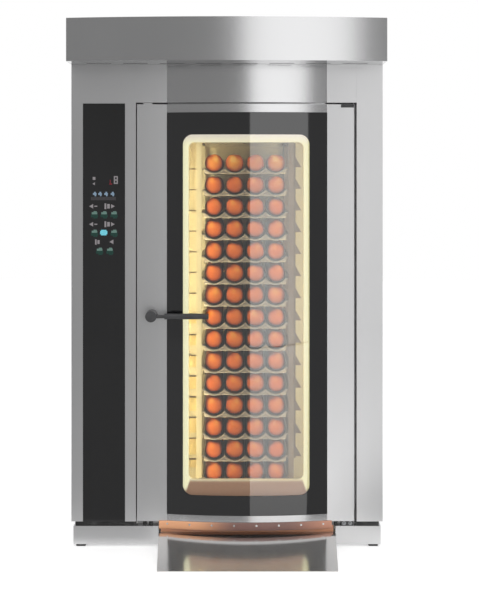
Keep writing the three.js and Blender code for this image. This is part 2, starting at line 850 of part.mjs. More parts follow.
function fanMotor() {
  const base = jacketRear + seat;
  return turnedAlongY(
    [
      [fanShaftRadius + 2, base],
      [motorRadius + 10, base],
      [motorRadius + 10, base + 14],
      [motorRadius, base + 14],
      [motorRadius, rearMost - 12],
      [motorRadius - 12, rearMost],
      [0, rearMost],
      [0, base + 60],
      [fanShaftRadius + 2, base + 60],
    ],
    28,
  );
}

// Turned piece whose axis is the fan axis; profile points are [radius, y].
function turnedAlongY(points, sides) {
  const profile = [...points, points[0]].map(([r, y]) => new THREE.Vector2(r, y));
  const lathe = new THREE.LatheGeometry(profile, sides);
  return solidOf(lathe.translate(chamberCentre, 0, fanHeight));
}
add("fan_motor", fanMotor(), motorPaint);

function fanWheel() {
  const hubFront = fanFront - 10;
  const disc = bar("y", [chamberCentre, fanHeight], fanRadius, fanBack - 3, fanBack, 24);
  const hub = bar("y", [chamberCentre, fanHeight], 34, hubFront, fanBack, 20);
  const shaft = bar("y", [chamberCentre, fanHeight], fanShaftRadius, fanBack - 1, jacketRear + 58, 16);
  const blade = slab([0, 3], [fanFront, fanBack - 1], [fanRadius * 0.62, fanRadius - 2]);
  const blades = Array.from({ length: fanBlades }, (_, i) => {
    const turn = (i * 360) / fanBlades;
    return move(blade.rotate([0, 25, 0]).translate([-fanRadius * 0.35, 0, 0]).rotate([0, turn, 0]), chamberCentre, 0, fanHeight);
  });
  const ring = cut(
    bar("y", [chamberCentre, fanHeight], fanRadius, fanFront, fanFront + 4, 24),
    bar("y", [chamberCentre, fanHeight], fanRadius * 0.66, fanFront - 1, fanFront + 5, 24),
  );
  return join(disc, hub, shaft, blades, ring);
}
add("fan_wheel", fanWheel(), galvanised);

function ventFlue() {
  const tube = cut(
    bar("z", [ventX, ventY], ventRadius, ceilingTop + seat, ventTop, 20),
    bar("z", [ventX, ventY], ventRadius - ventWall, ceilingTop - 1, ventTop + 1, 20),
  );
  const collar = cut(
    bar("z", [ventX, ventY], ventRadius + 22, roofTop + seat, roofTop + seat + 4, 20),
    bar("z", [ventX, ventY], ventRadius - ventWall, roofTop, roofTop + 5, 20),
  );
  const bearing = bar("x", [ventY, flapHeight], flapShaft + hingeClearance, ventX - 90, ventX + 90, 12);
  return cut(join(tube, collar), bearing);
}
add("vent_flue", ventFlue(), galvanised);

function ventFlap() {
  const radius = ventRadius - ventWall - flapGap;
  const disc = bar("z", [ventX, ventY], radius, ...around(flapHeight, flapThickness / 2), 20);
  const shaft = bar("x", [ventY, flapHeight], flapShaft, ventX - ventRadius - 8, ventX + ventRadius + 26, 12);
  const arm = slab(
    [ventX + ventRadius + 18, ventX + ventRadius + 24],
    [ventY - 8, ventY + 46],
    around(flapHeight, 7),
  );
  return join(disc, shaft, arm);
}
add("vent_flap", ventFlap(), galvanised);

// ---------------------------------------------------------------- rack drive on the roof

// Spur gear standing on its pitch circle, with straight-sided teeth narrower than the gaps.
function spurGear(teeth, [x, y], [z0, z1], turn = 0) {
  const pitchRadius = (gearModule * teeth) / 2;
  const root = pitchRadius - 1.25 * gearModule;
  const tip = pitchRadius + gearModule * 0.9;
  const step = (2 * Math.PI) / teeth;
  const backlash = gearBacklash / pitchRadius / 2;
  const tooth = [
    [root, 0.36 * step - backlash],
    [tip, 0.14 * step - backlash],
  ];
  const points = [];
  for (let i = 0; i < teeth; i++) {
    const middle = i * step + turn;
    for (const [r, half] of tooth) points.push([r, middle - half]);
    for (const [r, half] of [...tooth].reverse()) points.push([r, middle + half]);
  }
  const outline = polygon(points.map(([r, a]) => [x + r * Math.cos(a), y + r * Math.sin(a)]));
  return upright(outline, z0, z1);
}

const axis = [chamberCentre, rackY];
const pinionAxis = [chamberCentre - gearRadius - pinionRadius, rackY];
const gearZ = [gearBottom, gearBottom + gearWidth];
const posts = [-1, 1].map((side) => [chamberCentre - 20, rackY + side * postSpread]);
const carriageX = [pinionAxis[0] - carriageOverhang, chamberCentre + carriageOverhang];

function driveFrame() {
  const x = grow(carriageX, frameMargin);
  const y = around(rackY, carriageHalf + frameEndMargin);
  const plate = slab(x, y, [driveBase, driveBase + drivePlate]);
  const columns = posts.map((post) => bar("z", post, postRadius, driveBase + 1, hoodTop - sheet - 14, 16));
  const heads = posts.map((post) => bar("z", post, postRadius + 8, driveBase + 1, driveBase + drivePlate + 12, 16));
  return cut(join(plate, columns, heads), shaftHole(driveBase - 1, driveBase + drivePlate + 1));
}
add("drive_frame", driveFrame(), castSteel);

function liftCarriage() {
  const z = [carriageBottom, carriageBottom + carriagePlate];
  const plate = slab(carriageX, around(rackY, carriageHalf), z);
  const nuts = posts.map((post) => bar("z", post, postRadius + 12, carriageBottom - 16, z[1] + 16, 16));
  const bores = posts.map((post) => bar("z", post, postRadius + postClearance, z[0] - 20, z[1] + 20, 16));
  const shaftBore = bar("z", axis, shaftRadius + 0.5, z[0] - 1, z[1] + 4, 24);
  const bearing = bar("z", axis, shaftRadius + 14, z[0] + 1, z[1] + 3.5, 24);
  const pinionBore = bar("z", pinionAxis, 8.5, z[0] - 1, z[1] + 1, 16);
  return cut(join(plate, nuts, bearing), bores, shaftBore, pinionBore);
}
add("lift_carriage", liftCarriage(), castSteel);

function drivePinion() {
  const shaft = bar("z", pinionAxis, 8, carriageBottom - 6, gearZ[1] + 18, 16);
  const collar = bar("z", pinionAxis, 14, carriageBottom + carriagePlate + seat, gearZ[0] + 1, 16);
  return join(spurGear(pinionTeeth, pinionAxis, gearZ, Math.PI / pinionTeeth), shaft, collar);
}
add("drive_pinion", drivePinion(), castSteel);

function gearmotor() {
  const z0 = gearZ[1] + 4;
  const x = [pinionAxis[0] - motorWidth / 2 - 14, pinionAxis[0] + motorWidth / 2 - 14];
  const body = slab(x, around(rackY, motorLength / 2), [z0, z0 + motorHeight]);
  const canX = x[0] + motorWidth / 2;
  const canY = rackY + motorLength / 2 - 1;
  const can = bar("y", [canX, z0 + motorHeight / 2], motorCanRadius, canY, canY + motorCanLength, 20);
  const leg = slab([x[0], x[0] + 8], around(rackY, motorLength / 2), [
    carriageBottom + carriagePlate + seat,
    z0 + 1,
  ]);
  const bore = bar("z", pinionAxis, 8.5, z0 - 1, z0 + 20, 20);
  return cut(join(body, can, leg), bore);
}
add("rack_gearmotor", gearmotor(), motorPaint);

const flangeBottom = hangerTop - hangerFlangeThickness;
const carrierBottom = hangerTop + carrierDrop;

// Turning shaft with the gear on top and the carrier that holds the rack by its hanger below.
function rackSpindle() {
  const inner = hangerFlange / 2 + 3;
  const outer = inner + lipThickness;
  const y = around(rackY, carrierLength / 2);
  const lipTop = flangeBottom - seat;
  const gear = spurGear(gearTeeth, axis, gearZ);
  const shaft = bar("z", axis, shaftRadius, carrierBottom + 1, gearZ[1] + 12, 24);
  const collar = bar("z", axis, shaftRadius + 12, carriageBottom + carriagePlate + 3.5 + seat, gearZ[0] + 1, 24);
  const flangeRing = bar("z", axis, shaftRadius + 24, carrierBottom + 1, carrierBottom + carrierPlate + 10, 20);
  const plate = slab(around(chamberCentre, outer), y, [carrierBottom, carrierBottom + carrierPlate]);
  const rails = [-1, 1].flatMap((side) => [
    slab(span(chamberCentre + side * inner, chamberCentre + side * outer), y, [
      lipTop - lipThickness,
      carrierBottom + 1,
    ]),
    slab(span(chamberCentre + side * (hangerWeb / 2 + 8), chamberCentre + side * outer), y, [
      lipTop - lipThickness,
      lipTop,
    ]),
  ]);
  return join(gear, shaft, collar, flangeRing, plate, rails);
}
add("rack_spindle", rackSpindle(), castSteel);

// ---------------------------------------------------------------- rack

const rackX = [chamberCentre - rackWidth / 2, chamberCentre + rackWidth / 2];
const rackSpanY = around(rackY, rackDepth / 2);
const forkTop = frameBase - seat;

// Two cheeks hanging from a plate, with the axle between them.
function casterFork([x, y], trail) {
  const half = wheelWidth / 2 + forkGap;
  const cheek = polygon([
    [y - casterPlate / 2 + 6, forkTop - forkSheet / 2],
    [y + trail - 12, axleHeight],
    [y + trail - 8, axleHeight - 12],
    [y + trail + 8, axleHeight - 12],
    [y + trail + 12, axleHeight],
    [y + casterPlate / 2 - 2, forkTop - forkSheet / 2],
  ]);
  return join(
    slab(around(x, casterPlate / 2), around(y, casterPlate / 2), [forkTop - forkSheet, forkTop]),
    fromSide(cheek, x - half - forkSheet, x - half),
    fromSide(cheek, x + half, x + half + forkSheet),
    bar("x", [y + trail, axleHeight], axleRadius, x - half - forkSheet - 3, x + half + forkSheet + 3, 12),
  );
}

function casterWheel([x, y]) {
  const half = wheelWidth / 2;
  const bore = axleRadius + axleClearance;
  const profile = [
    [bore, -half],
    [16, -half],
    [36, 4 - half],
    [40, -half],
    [wheelRadius, 4 - half],
    [wheelRadius, half - 4],
    [40, half],
    [36, half - 4],
    [16, half],
    [bore, half],
    [bore, -half],
  ].map(([r, h]) => new THREE.Vector2(r, h));
  const wheel = new THREE.LatheGeometry(profile, 16);
  return solidOf(wheel.rotateZ(Math.PI / 2).translate(x, y, axleHeight));
}

function rackFrame() {
  const insideX = [rackX[0] + postSide, rackX[1] - postSide];
  const uprights = [];
  const runners = [];
  for (const side of [-1, 1]) {
    const outer = side < 0 ? rackX[0] : rackX[1];
    const face = side < 0 ? insideX[0] : insideX[1];
    for (const end of rackSpanY) {
      const y = end === rackSpanY[0] ? [end, end + postSide] : [end - postSide, end];
      uprights.push(slab(span(outer, face), y, [frameBase, rackTop]));
    }
    const y = [rackSpanY[0] + postSide - overlap, rackSpanY[1] - postSide + overlap];
    for (const tier of tierHeights) {
      const x = span(face + side * runnerReach, face - side * runnerReach);
      runners.push(slab(x, y, [tier - runnerSheet, tier]));
    }
  }
  const ring = (z) => [
    slab(rackX, [rackSpanY[0], rackSpanY[0] + postSide], z),
    slab(rackX, [rackSpanY[1] - postSide, rackSpanY[1]], z),
    slab([rackX[0], rackX[0] + postSide], rackSpanY, z),
    slab([rackX[1] - postSide, rackX[1]], rackSpanY, z),
  ];
  const frames = [
    ...ring([frameBase, frameBase + frameBar]),
    ...ring([rackTop - frameBar, rackTop]),
  ];
  const web = slab(around(chamberCentre, hangerWeb / 2), rackSpanY, [rackTop - frameBar / 2, flangeBottom + 1]);
  const rail = slab(around(chamberCentre, hangerFlange / 2), rackSpanY, [flangeBottom, hangerTop]);
  const corners = [-1, 1].flatMap((sx) =>
    [-1, 1].map((sy) =>
      slab(
        span(chamberCentre + sx * (casterX - casterPlate / 2), chamberCentre + sx * (rackWidth / 2 - 2)),
        span(rackY + sy * (casterY - casterPlate / 2), rackY + sy * (rackDepth / 2 - 2)),
        [frameBase, frameBase + 6],
      ),
    ),
  );
  const stems = [-1, 1].map((side) =>
    bar("z", [chamberCentre + side * casterX, rackY - casterY], casterStem + 0.5, frameBase - 1, rackTop / 2, 20),
  );
  const fixed = [-1, 1].map((side) => casterFork([chamberCentre + side * casterX, rackY + casterY], 0));
  const ties = [-1, 1].map((side) =>
    slab(
      around(chamberCentre + side * casterX, casterPlate / 2),
      around(rackY + casterY, casterPlate / 2),
      [forkTop - 1, frameBase + 1],
    ),
  );
  return join(cut(join(uprights, runners, frames, web, rail, corners), stems), fixed, ties);
}
add("rack_frame", rackFrame(), stainless);

for (const [name, side] of [["left", -1], ["right", 1]]) {
  const front = [chamberCentre + side * casterX, rackY - casterY];
  const rear = [chamberCentre + side * casterX, rackY + casterY];
  const stem = bar("z", front, casterStem, forkTop - 1, frameBase + frameBar + 8, 20);
  add(`caster_fork_${name}`, join(casterFork(front, casterTrail), stem), polished);
  add(`front_wheel_${name}`, casterWheel([front[0], front[1] + casterTrail]), rubber);
  add(`rear_wheel_${name}`, casterWheel(rear), rubber);
}

// Corrugated baking tray: rims on the runners and round channels between them.
const channelPitch = (trayWidth - 2 * trayRim) / channelCount;

function trayProfile() {
  const half = channelPitch / 2;
  const radius = (half * half + channelDepth * channelDepth) / (2 * channelDepth);
  const edge = Math.asin(half / radius);
  const points = [[-trayWidth / 2, 0]];
  for (let channel = 0; channel < channelCount; channel++) {
    const middle = -trayWidth / 2 + trayRim + (channel + 0.5) * channelPitch;
    for (let i = channel ? 1 : 0; i <= channelSteps; i++) {
      const angle = -edge + (2 * edge * i) / channelSteps;
      points.push([middle + radius * Math.sin(angle), radius - channelDepth - radius * Math.cos(angle)]);
    }
  }
  points.push([trayWidth / 2, 0]);
  return folded(points, traySheet);
}

const trayShape = trayProfile();
tierHeights.forEach((tier, i) => {
  const tray = fromFront(trayShape, ...around(rackY, trayLength / 2));
  const number = String(i + 1).padStart(2, "0");
  add(`tray_${number}`, move(tray, chamberCentre, 0, tier + seat), trayAluminium);
});

// ---------------------------------------------------------------- door

const doorX = [doorLeft, doorRight];
const doorZ = [doorBottom, doorTop];
const glassZ = [glassBottom, glassTop];

// Space between two depths behind the outer face of the bulge.
function bulgeLayer(front, back, [z0, z1], half = bulgeWidth / 2) {
  const outer = bulgeArc(front, half);
  const inner = bulgeArc(back, half).reverse();
  return upright(polygon([...outer, ...inner]), z0, z1);
}

const hingeHole = (z0, z1) => bar("z", [hingeX, hingeDepth], hingePinRadius + hingeClearance, z0, z1, 24);

function doorShell() {
  const outer = upright(bulgedPlan(doorX, 0, doorDepth), ...doorZ);
  const inner = upright(
    bulgedPlan(shrink(doorX, doorSkin), doorSkin, doorDepth + 1),
    ...shrink(doorZ, doorSkin),
  );
  const glassBack = glassThickness + seat;
  const half = bulgeWidth / 2;
  const frame = bulgeLayer(doorSkin / 2, glassBack + doorSkin, shrink(glassZ, -doorSkin), half + doorSkin);
  const pocket = bulgeLayer(-5, glassBack, shrink(glassZ, -seat), half + seat);
  const opening = bulgeLayer(-5, glassBack + 20, shrink(glassZ, glassLedge), half - glassLedge);
  const spindle = bar("y", [handleX, handleHeight], spindleHole, -1, doorDepth, 20);
  const bosses = [
    [doorBottom + 1, doorBottom + hingePinLength + 8],
    [doorTop - hingePinLength - 8, doorTop - 1],
  ].map((z) => slab(around(hingeX, 16), [1, hingeDepth + 16], z));
  const holes = [
    hingeHole(doorBottom - 1, doorBottom + hingePinLength + 4),
    hingeHole(doorTop - hingePinLength - 4, doorTop + 1),
  ];
  return cut(join(cut(outer, inner), frame, bosses), pocket, opening, spindle, holes);
}
add("door_shell", doorShell(), stainless);

add("door_glass", bulgeLayer(0, glassThickness, glassZ), blackGlass);

const lightOuter = { x: [windowLeft - lightMargin, windowRight + lightMargin] };
lightOuter.z = [windowBottom - lightMargin, windowTop + lightMargin];
const lightInner = { x: shrink([windowLeft, windowRight], lightSide) };
lightInner.z = [windowBottom + lightBottom, windowTop - lightTop];

function lightFrame() {
  const outer = roundedRectangle(lightOuter.x, lightOuter.z, windowCorner + lightMargin);
  const inner = roundedRectangle(lightInner.x, lightInner.z, windowCorner - lightSide + 6);
  return cut(fromFront(outer, lightFront, lightBack), fromFront(inner, lightFront - 1, lightBack + 1));
}
add("door_light_frame", lightFrame(), warmLight);

// Rear pan of the door with the box that carries the light frame and the inner glass.
function doorBack() {
  const pan = slab(shrink(doorX, 2), [doorDepth + seat, doorBackY], shrink(doorZ, 2));
  const sweep = slab(around(openingCentre, openingWidth / 2 - sweepInset), [doorDepth + seat, doorBackY], [
    sweepBottom,
    doorBottom + 4,
  ]);
  const box = slab(lightOuter.x, [lightBack + seat, doorBackY], lightOuter.z);
  const rebateX = shrink(lightInner.x, -innerGlassEdge);
  const rebateZ = shrink(lightInner.z, -innerGlassEdge);
  const hollow = slab(rebateX, [lightBack + sheet, doorBackY + 1], rebateZ);
  const frontLip = slab(lightInner.x, [lightBack - 1, doorBackY + 1], lightInner.z);
  const wool = cut(
    slab(shrink(lightOuter.x, -1), [lightBack + 2 * sheet, doorDepth], shrink(lightOuter.z, -1)),
    slab(shrink(rebateX, -sheet), [lightBack, doorDepth + 1], shrink(rebateZ, -sheet)),
  );
  const cam = bar("y", [handleX, handleHeight], spindleHole, doorDepth - 1, doorBackY + 1, 20);
  return cut(join(pan, sweep, cut(box, wool)), hollow, frontLip, cam);
}
add("door_back", doorBack(), stainless);

const innerGlassX = shrink(lightInner.x, seat - innerGlassEdge);
const innerGlassZ = shrink(lightInner.z, seat - innerGlassEdge);
add(
  "door_inner_glass",
  slab(innerGlassX, [innerGlassBack - innerGlassThickness, innerGlassBack], innerGlassZ),
  clearGlass,
);

// Fixed pivot brackets above and below the door.
function hingeBracket(z0, z1, pin) {
  const plate = slab(
    around(hingeX, hingePlateWidth / 2),
    [hingePlateFront, hingePlateFront + hingePlateDepth],
    [z0, z1],
  );
  return join(plate, bar("z", [hingeX, hingeDepth], hingePinRadius, ...pin, 20));
}
const topPlate = [doorTop + 2, headerBottom - seat];
const bottomPlate = [plinthTop + seat, doorBottom - seat];
add("hinge_top", hingeBracket(...topPlate, [doorTop - hingePinLength, topPlate[1] - 1]), blackPlastic);
add("hinge_bottom", hingeBracket(...bottomPlate, [bottomPlate[0] + 1, doorBottom + hingePinLength]), blackPlastic);

function doorHandle() {
  const at = [handleX, handleHeight];
  const hub = bar("y", at, handleHubRadius, -handleStandoff - handleBar, -seat, 24);
  const y = -handleStandoff;
  const neck = bar("x", [y, handleHeight], handleNeck, handleX, handleX + handleNeckLength + 4, 14);
  const grip = bar("x", [y, handleHeight], handleBar, handleX + handleNeckLength, handleX + handleReach, 16);
  const side = spindleSide / 2;
  const spindle = slab(around(handleX, side), [-2, doorBackY + seat + 2], around(handleHeight, side));
  const cam = slab([handleX - camLength, handleX + camWidth / 2], [doorBackY + seat, doorBackY + seat + camThickness],
    around(handleHeight, camWidth / 2));
  return join(hub, neck, grip, spindle, cam);
}
add("door_handle", doorHandle(), blackPlastic);

export default oven;
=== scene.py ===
# Rotating rack oven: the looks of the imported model.
# Metres, +Z up, X to the right of someone at the door, -Y towards them. The CAD nodes stay where they are
# and get their finishes here. The loaves, seals, screws, nuts, tray edges, louvres and lit signs are made
# in this file.
import math
import bmesh
import bpy
from mathutils import Matrix, Vector


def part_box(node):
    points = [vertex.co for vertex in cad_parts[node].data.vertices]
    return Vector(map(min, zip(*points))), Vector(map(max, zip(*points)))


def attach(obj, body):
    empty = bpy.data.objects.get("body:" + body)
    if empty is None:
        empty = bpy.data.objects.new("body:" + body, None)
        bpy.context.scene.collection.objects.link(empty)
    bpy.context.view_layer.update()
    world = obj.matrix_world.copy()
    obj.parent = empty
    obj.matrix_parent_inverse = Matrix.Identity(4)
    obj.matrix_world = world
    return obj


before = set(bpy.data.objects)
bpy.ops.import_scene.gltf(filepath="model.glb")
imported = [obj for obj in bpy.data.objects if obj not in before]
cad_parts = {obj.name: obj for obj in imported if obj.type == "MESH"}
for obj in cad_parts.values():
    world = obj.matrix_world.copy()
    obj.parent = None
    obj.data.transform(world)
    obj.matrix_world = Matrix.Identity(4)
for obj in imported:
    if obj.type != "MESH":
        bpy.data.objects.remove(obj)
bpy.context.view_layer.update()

# ---------------- places taken from the frame

casing_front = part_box("front_column_left")[0].y  # flat front of the cabinet
rear_face = casing_front + 1.300  # flat outside of the rear panel
ramp_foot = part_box("entry_ramp")[0].y
glass_low, glass_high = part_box("door_glass")
control_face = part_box("control_glass")[0].y
hair = 0.0002  # gap between a fitting and the sheet behind it
forwards, backwards, upwards = (0, -1, 0), (0, 1, 0), (0, 0, 1)

# Bulge of the door and the header, as in the CAD model
bulge_x = 0.090
bulge_half = 0.360
bulge_rise = 0.036
bulge_radius = (bulge_half**2 + bulge_rise**2) / (2 * bulge_rise)

# Clear window in the black border of the door glass
window_x = 0.086
window_half_x = 0.284
window_z = 1.0455
window_half_z = 0.8085
window_corner = 0.044
coated_glass = 1.9  # refractive index with the reflection of both faces and the coating

# Trays, and the channels pressed into each
tiers = 15
channel_pitch = 0.096
channel_depth = 0.024
channel_radius = (channel_pitch**2 / 4 + channel_depth**2) / (2 * channel_depth)

# Loaves: four on each tray
loaf_columns = (-0.1475, -0.049, 0.049, 0.1475)
loaf_width = 0.083
loaf_height = 0.081
loaf_length = 0.575
loaf_cap = 0.022  # length of the rounded end

# ---------------- material tools


class Wire:
    """A socket of a material's nodes that can be used in arithmetic."""

    def __init__(self, finish, socket):
        self.finish = finish
        self.socket = socket

    def maths(self, operation, *values):
        sockets = dict(enumerate(values))
        return self.finish.node("Math", {"operation": operation}, sockets)

    def __add__(self, other):
        return self.maths("ADD", self, other)

    def __radd__(self, other):
        return self.maths("ADD", other, self)

    def __sub__(self, other):
        return self.maths("SUBTRACT", self, other)

    def __rsub__(self, other):
        return self.maths("SUBTRACT", other, self)

    def __mul__(self, other):
        return self.maths("MULTIPLY", self, other)

    def __rmul__(self, other):
        return self.maths("MULTIPLY", other, self)

    def __truediv__(self, other):
        return self.maths("DIVIDE", self, other)

    def __pow__(self, other):
        return self.maths("POWER", self, other)

    def __lt__(self, other):
        return self.maths("LESS_THAN", self, other)

    def __gt__(self, other):
        return self.maths("GREATER_THAN", self, other)

    def size(self):
        return self.maths("ABSOLUTE", self)

    def at_least(self, other):
        return self.maths("MAXIMUM", self, other)

    def repeat(self, pitch):
        """Runs from 0 to pitch, over and over."""
        return self.maths("FLOORED_MODULO", self, pitch)

    def step(self, low, high):
        """0 below low, 1 above high and a smooth ramp between them."""
        settings = {"interpolation_type": "SMOOTHSTEP"}
        sockets = {"Value": self, "From Min": low, "From Max": high}
        return self.finish.node("MapRange", settings, sockets)


class Finish:
    """A material under construction, and the one way in which nodes are added to it."""

    def __init__(self, name, owner=None):
        self.material = owner or bpy.data.materials.new(name)
        self.material.use_nodes = True
        self.tree = self.material.node_tree
        self.tree.nodes.clear()

    def node(self, kind, settings=None, sockets=None, out=0):
        node = self.tree.nodes.new("ShaderNode" + kind)
        for name, value in (settings or {}).items():
            if name == "stops":
                self.set_stops(node.color_ramp.elements, value)
            else:
                setattr(node, name, value)
        for name, value in (sockets or {}).items():
            self.feed(node.inputs[name], value)
        return Wire(self, node.outputs[out])

    def set_stops(self, elements, stops):
        while len(elements) < len(stops):
            elements.new(1.0)
        for element, (place, colour) in zip(elements, stops):
            element.position = place
            element.color = (*colour, 1.0)

    def feed(self, socket, value):
        if isinstance(value, Wire):
            self.tree.links.new(value.socket, socket)
        elif socket.type == "RGBA":
            socket.default_value = (*value, 1.0)
        else:
            socket.default_value = value

    def place(self):
        return self.node("TexCoord", out="Object")

    def axis(self, name):
        """The Object coordinate X, Y or Z, in metres."""
        return self.node("SeparateXYZ", {}, {0: self.place()}, out=name)

    def mix(self, share, first, second):
        """The colour first, turning into second as share goes from 0 to 1."""
        sockets = {0: share, 6: first, 7: second}
        return self.node("Mix", {"data_type": "RGBA"}, sockets, out=2)

    def noise(self, scale, detail=3.0, roughness=0.55, stretch=(1, 1, 1)):
        mapped = self.node("Mapping", {}, {"Vector": self.place(), "Scale": stretch})
        sockets = {"Vector": mapped, "Scale": scale, "Detail": detail, "Roughness": roughness}
        return self.node("TexNoise", {}, sockets)

    def bump(self, height, depth, strength=1.0):
        sockets = {"Height": height, "Distance": depth, "Strength": strength}
        return self.node("Bump", {}, sockets)

    def principled(self, **sockets):
        named = {name.replace("_", " "): value for name, value in sockets.items()}
        return self.node("BsdfPrincipled", {}, named)

    def finished(self, **sockets):
        """The material, with one Principled shader."""
        return self.done(self.principled(**sockets))

    def done(self, shader, kind="Material"):
        output = self.tree.nodes.new("ShaderNodeOutput" + kind)
        self.tree.links.new(shader.socket, output.inputs["Surface"])
        return self.material


def scaled(tone, by):
    """A tone made darker or lighter."""
    return tuple(min(1.0, by * part) for part in tone)


def dusted(tone, dust, share):
    """A tone with a share of grey dust over it."""
    return tuple(part + (dust - part) * share for part in tone)


# ---------------- metals


def brushed_steel(name, tone, grain, roughness, depth=0.00001, tint=None, bowed=None, painted_right_shade=None):
    """Rolled and brushed sheet. grain is how the noise is stretched, small along the brush lines. tint is
    the colour of its heat-tinted patches. bowed is the roughness of the bulge in the middle, which is
    polished finer than the flats. The flats beside it are painted lighter towards the foot, a painted
    reflection.
    The last argument is the colour of painted shade on the side on the right."""
    made = Finish(name)
    lines = made.noise(1.0, 4.0, 0.65, stretch=grain)
    cloth = made.noise(2.3, stretch=(1, 1, 0.5))
    spots = made.noise(41.0, 2.0)
    shade = (lines - 0.5) * 0.30 + (cloth - 0.5) * 0.25 + 0.5
    colour = made.mix(shade, scaled(tone, 0.92), scaled(tone, 1.08))
    if tint:
        colour = made.mix(cloth.step(0.45, 0.75) * 0.35, colour, tint)
    if painted_right_shade:
        # Painted shade: the side on the right is darkened to the given colour.
        on_right = made.axis("X").step(0.24, 0.29)
        colour = made.mix(on_right * (1.1 - cloth * 0.4), colour, painted_right_shade)
    rough = (lines - 0.5) * 0.05 + (cloth - 0.5) * 0.06 + (spots - 0.5) * 0.02 + roughness
    if bowed:
        across = (made.axis("X") - bulge_x).size()
        flat_part = across.step(bulge_half - 0.003, bulge_half + 0.003)
        rough = rough - (1.0 - flat_part) * (roughness - bowed)
        # Painted reflection: the flats beside the bulge turn lighter towards the foot.
        painted_foot_light = 1.0 - made.axis("Z").step(0.15, 1.05)
        colour = made.mix(flat_part * painted_foot_light, colour, scaled(tone, 1.22))
    return made.finished(
        Base_Color=colour, Metallic=1.0, Roughness=rough, Normal=made.bump(lines, depth, 0.5)
    )


def smooth_metal(name, tone, roughness, mottle, scale, metallic=1.0):
    """Turned, plated or cast metal with fine mottling and scuffs."""
    made = Finish(name)
    fine = made.noise(scale, 4.0, 0.6)
    worn = made.noise(scale * 0.12)
    dark, light = scaled(tone, 1 - mottle), scaled(tone, 1 + mottle)
    rough = (worn - 0.5) * 0.22 + (fine - 0.5) * 0.10 + roughness
    return made.finished(
        Base_Color=made.mix(fine * 0.6 + worn * 0.4, dark, light),
        Metallic=metallic,
        Roughness=rough,
        Normal=made.bump(fine, 0.00005, 0.4),
    )


def polished_plate(name):
    """Ramp plate, polished by wheels and dished a little by their weight: a clear mirror image with a soft
    haze over it."""
    made = Finish(name)
    from_foot = made.axis("Y") - ramp_foot
    dish = from_foot * 0.1 + from_foot**2.0 * 2.5
    scuffs = made.noise(1.0, 5.0, 0.65, stretch=(14.0, 2.0, 14.0))
    lines = made.noise(1.0, stretch=(700.0, 1.4, 700.0))
    colour = made.mix(scuffs, (0.66, 0.65, 0.64), (0.80, 0.79, 0.78))
    grain = made.bump(dish + lines * 0.00004, 0.1)
    clear = made.principled(Base_Color=colour, Metallic=1.0, Roughness=lines * 0.04 + 0.10, Normal=grain)
    haze = made.principled(Base_Color=colour, Metallic=1.0, Roughness=scuffs * 0.1 + 0.50, Normal=grain)
    return made.done(made.node("MixShader", {}, {0: scuffs * 0.14 + 0.05, 1: clear, 2: haze}))


def lip_rubber(name):
    """Copper-coloured silicone, darker in the middle as painted shade and brighter towards the ends as
    painted light, most at the left end.
    """
    made = Finish(name)
    x = made.axis("X")
    dust = made.noise(19.0, 4.0, 0.6)
    # Painted shade darkens the middle, and painted light brightens the ends, the left one most.
    shaded_middle = 1.0 - (x - bulge_x - 0.06).size().step(0.10, 0.33)
    ends = made.mix(x.step(-0.05, 0.35), (0.90, 0.44, 0.23), (0.62, 0.29, 0.19))
    tone = made.mix(shaded_middle, ends, made.mix(dust, (0.20, 0.105, 0.09), (0.26, 0.13, 0.105)))
    return made.finished(
        Base_Color=tone,
        Roughness=dust * 0.2 + 0.26,
        Coat_Weight=0.25,
        Normal=made.bump(made.noise(260.0, 2.0), 0.00005, 0.4),
    )


def spangled_zinc(name):
    """Galvanised sheet with its crystals."""
    made = Finish(name)
    cells = made.node("TexVoronoi", {}, {"Vector": made.place(), "Scale": 48.0}, out=1)
    grey = made.node("SeparateXYZ", {}, {0: cells})
    drift = made.noise(3.0)
    colour = made.mix(grey * 0.7 + drift * 0.3, (0.44, 0.46, 0.48), (0.66, 0.68, 0.70))
    return made.finished(
        Base_Color=colour,
        Metallic=1.0,
        Roughness=grey * 0.16 + 0.30 + (drift - 0.5) * 0.1,
        Normal=made.bump(grey, 0.00005, 0.4),
    )


def paint(name, tone, roughness, peel=220.0):
    """Sprayed enamel with orange peel, and a little dust."""
    made = Finish(name)
    skin = made.noise(peel, 2.0)
    dust = made.noise(7.0, 5.0, 0.6)
    colour = made.mix(dust.step(0.48, 0.72) * 0.6, tone, dusted(tone, 0.35, 0.18))
    return made.finished(
        Base_Color=colour,
        Roughness=dust * 0.25 + roughness - 0.1,
        Normal=made.bump(skin, 0.00006, 0.5),
    )


def oxidised_sheath(name):
    """Heater tube that has been red hot: dark scale with straw and blue bands."""
    made = Finish(name)
    bands = made.noise(9.0, stretch=(1, 1, 0.35))
    scale = made.noise(130.0, 4.0, 0.7)
    stops = [(0.0, (0.035, 0.036, 0.045)), (0.45, (0.10, 0.085, 0.075)), (0.7, (0.20, 0.13, 0.07))]
    colour = made.node("ValToRGB", {"stops": stops + [(1.0, (0.09, 0.09, 0.14))]}, {0: bands})
    return made.finished(
        Base_Color=colour,
        Metallic=0.7,
        Roughness=scale * 0.3 + 0.38,
        Normal=made.bump(scale, 0.0002, 0.5),
    )


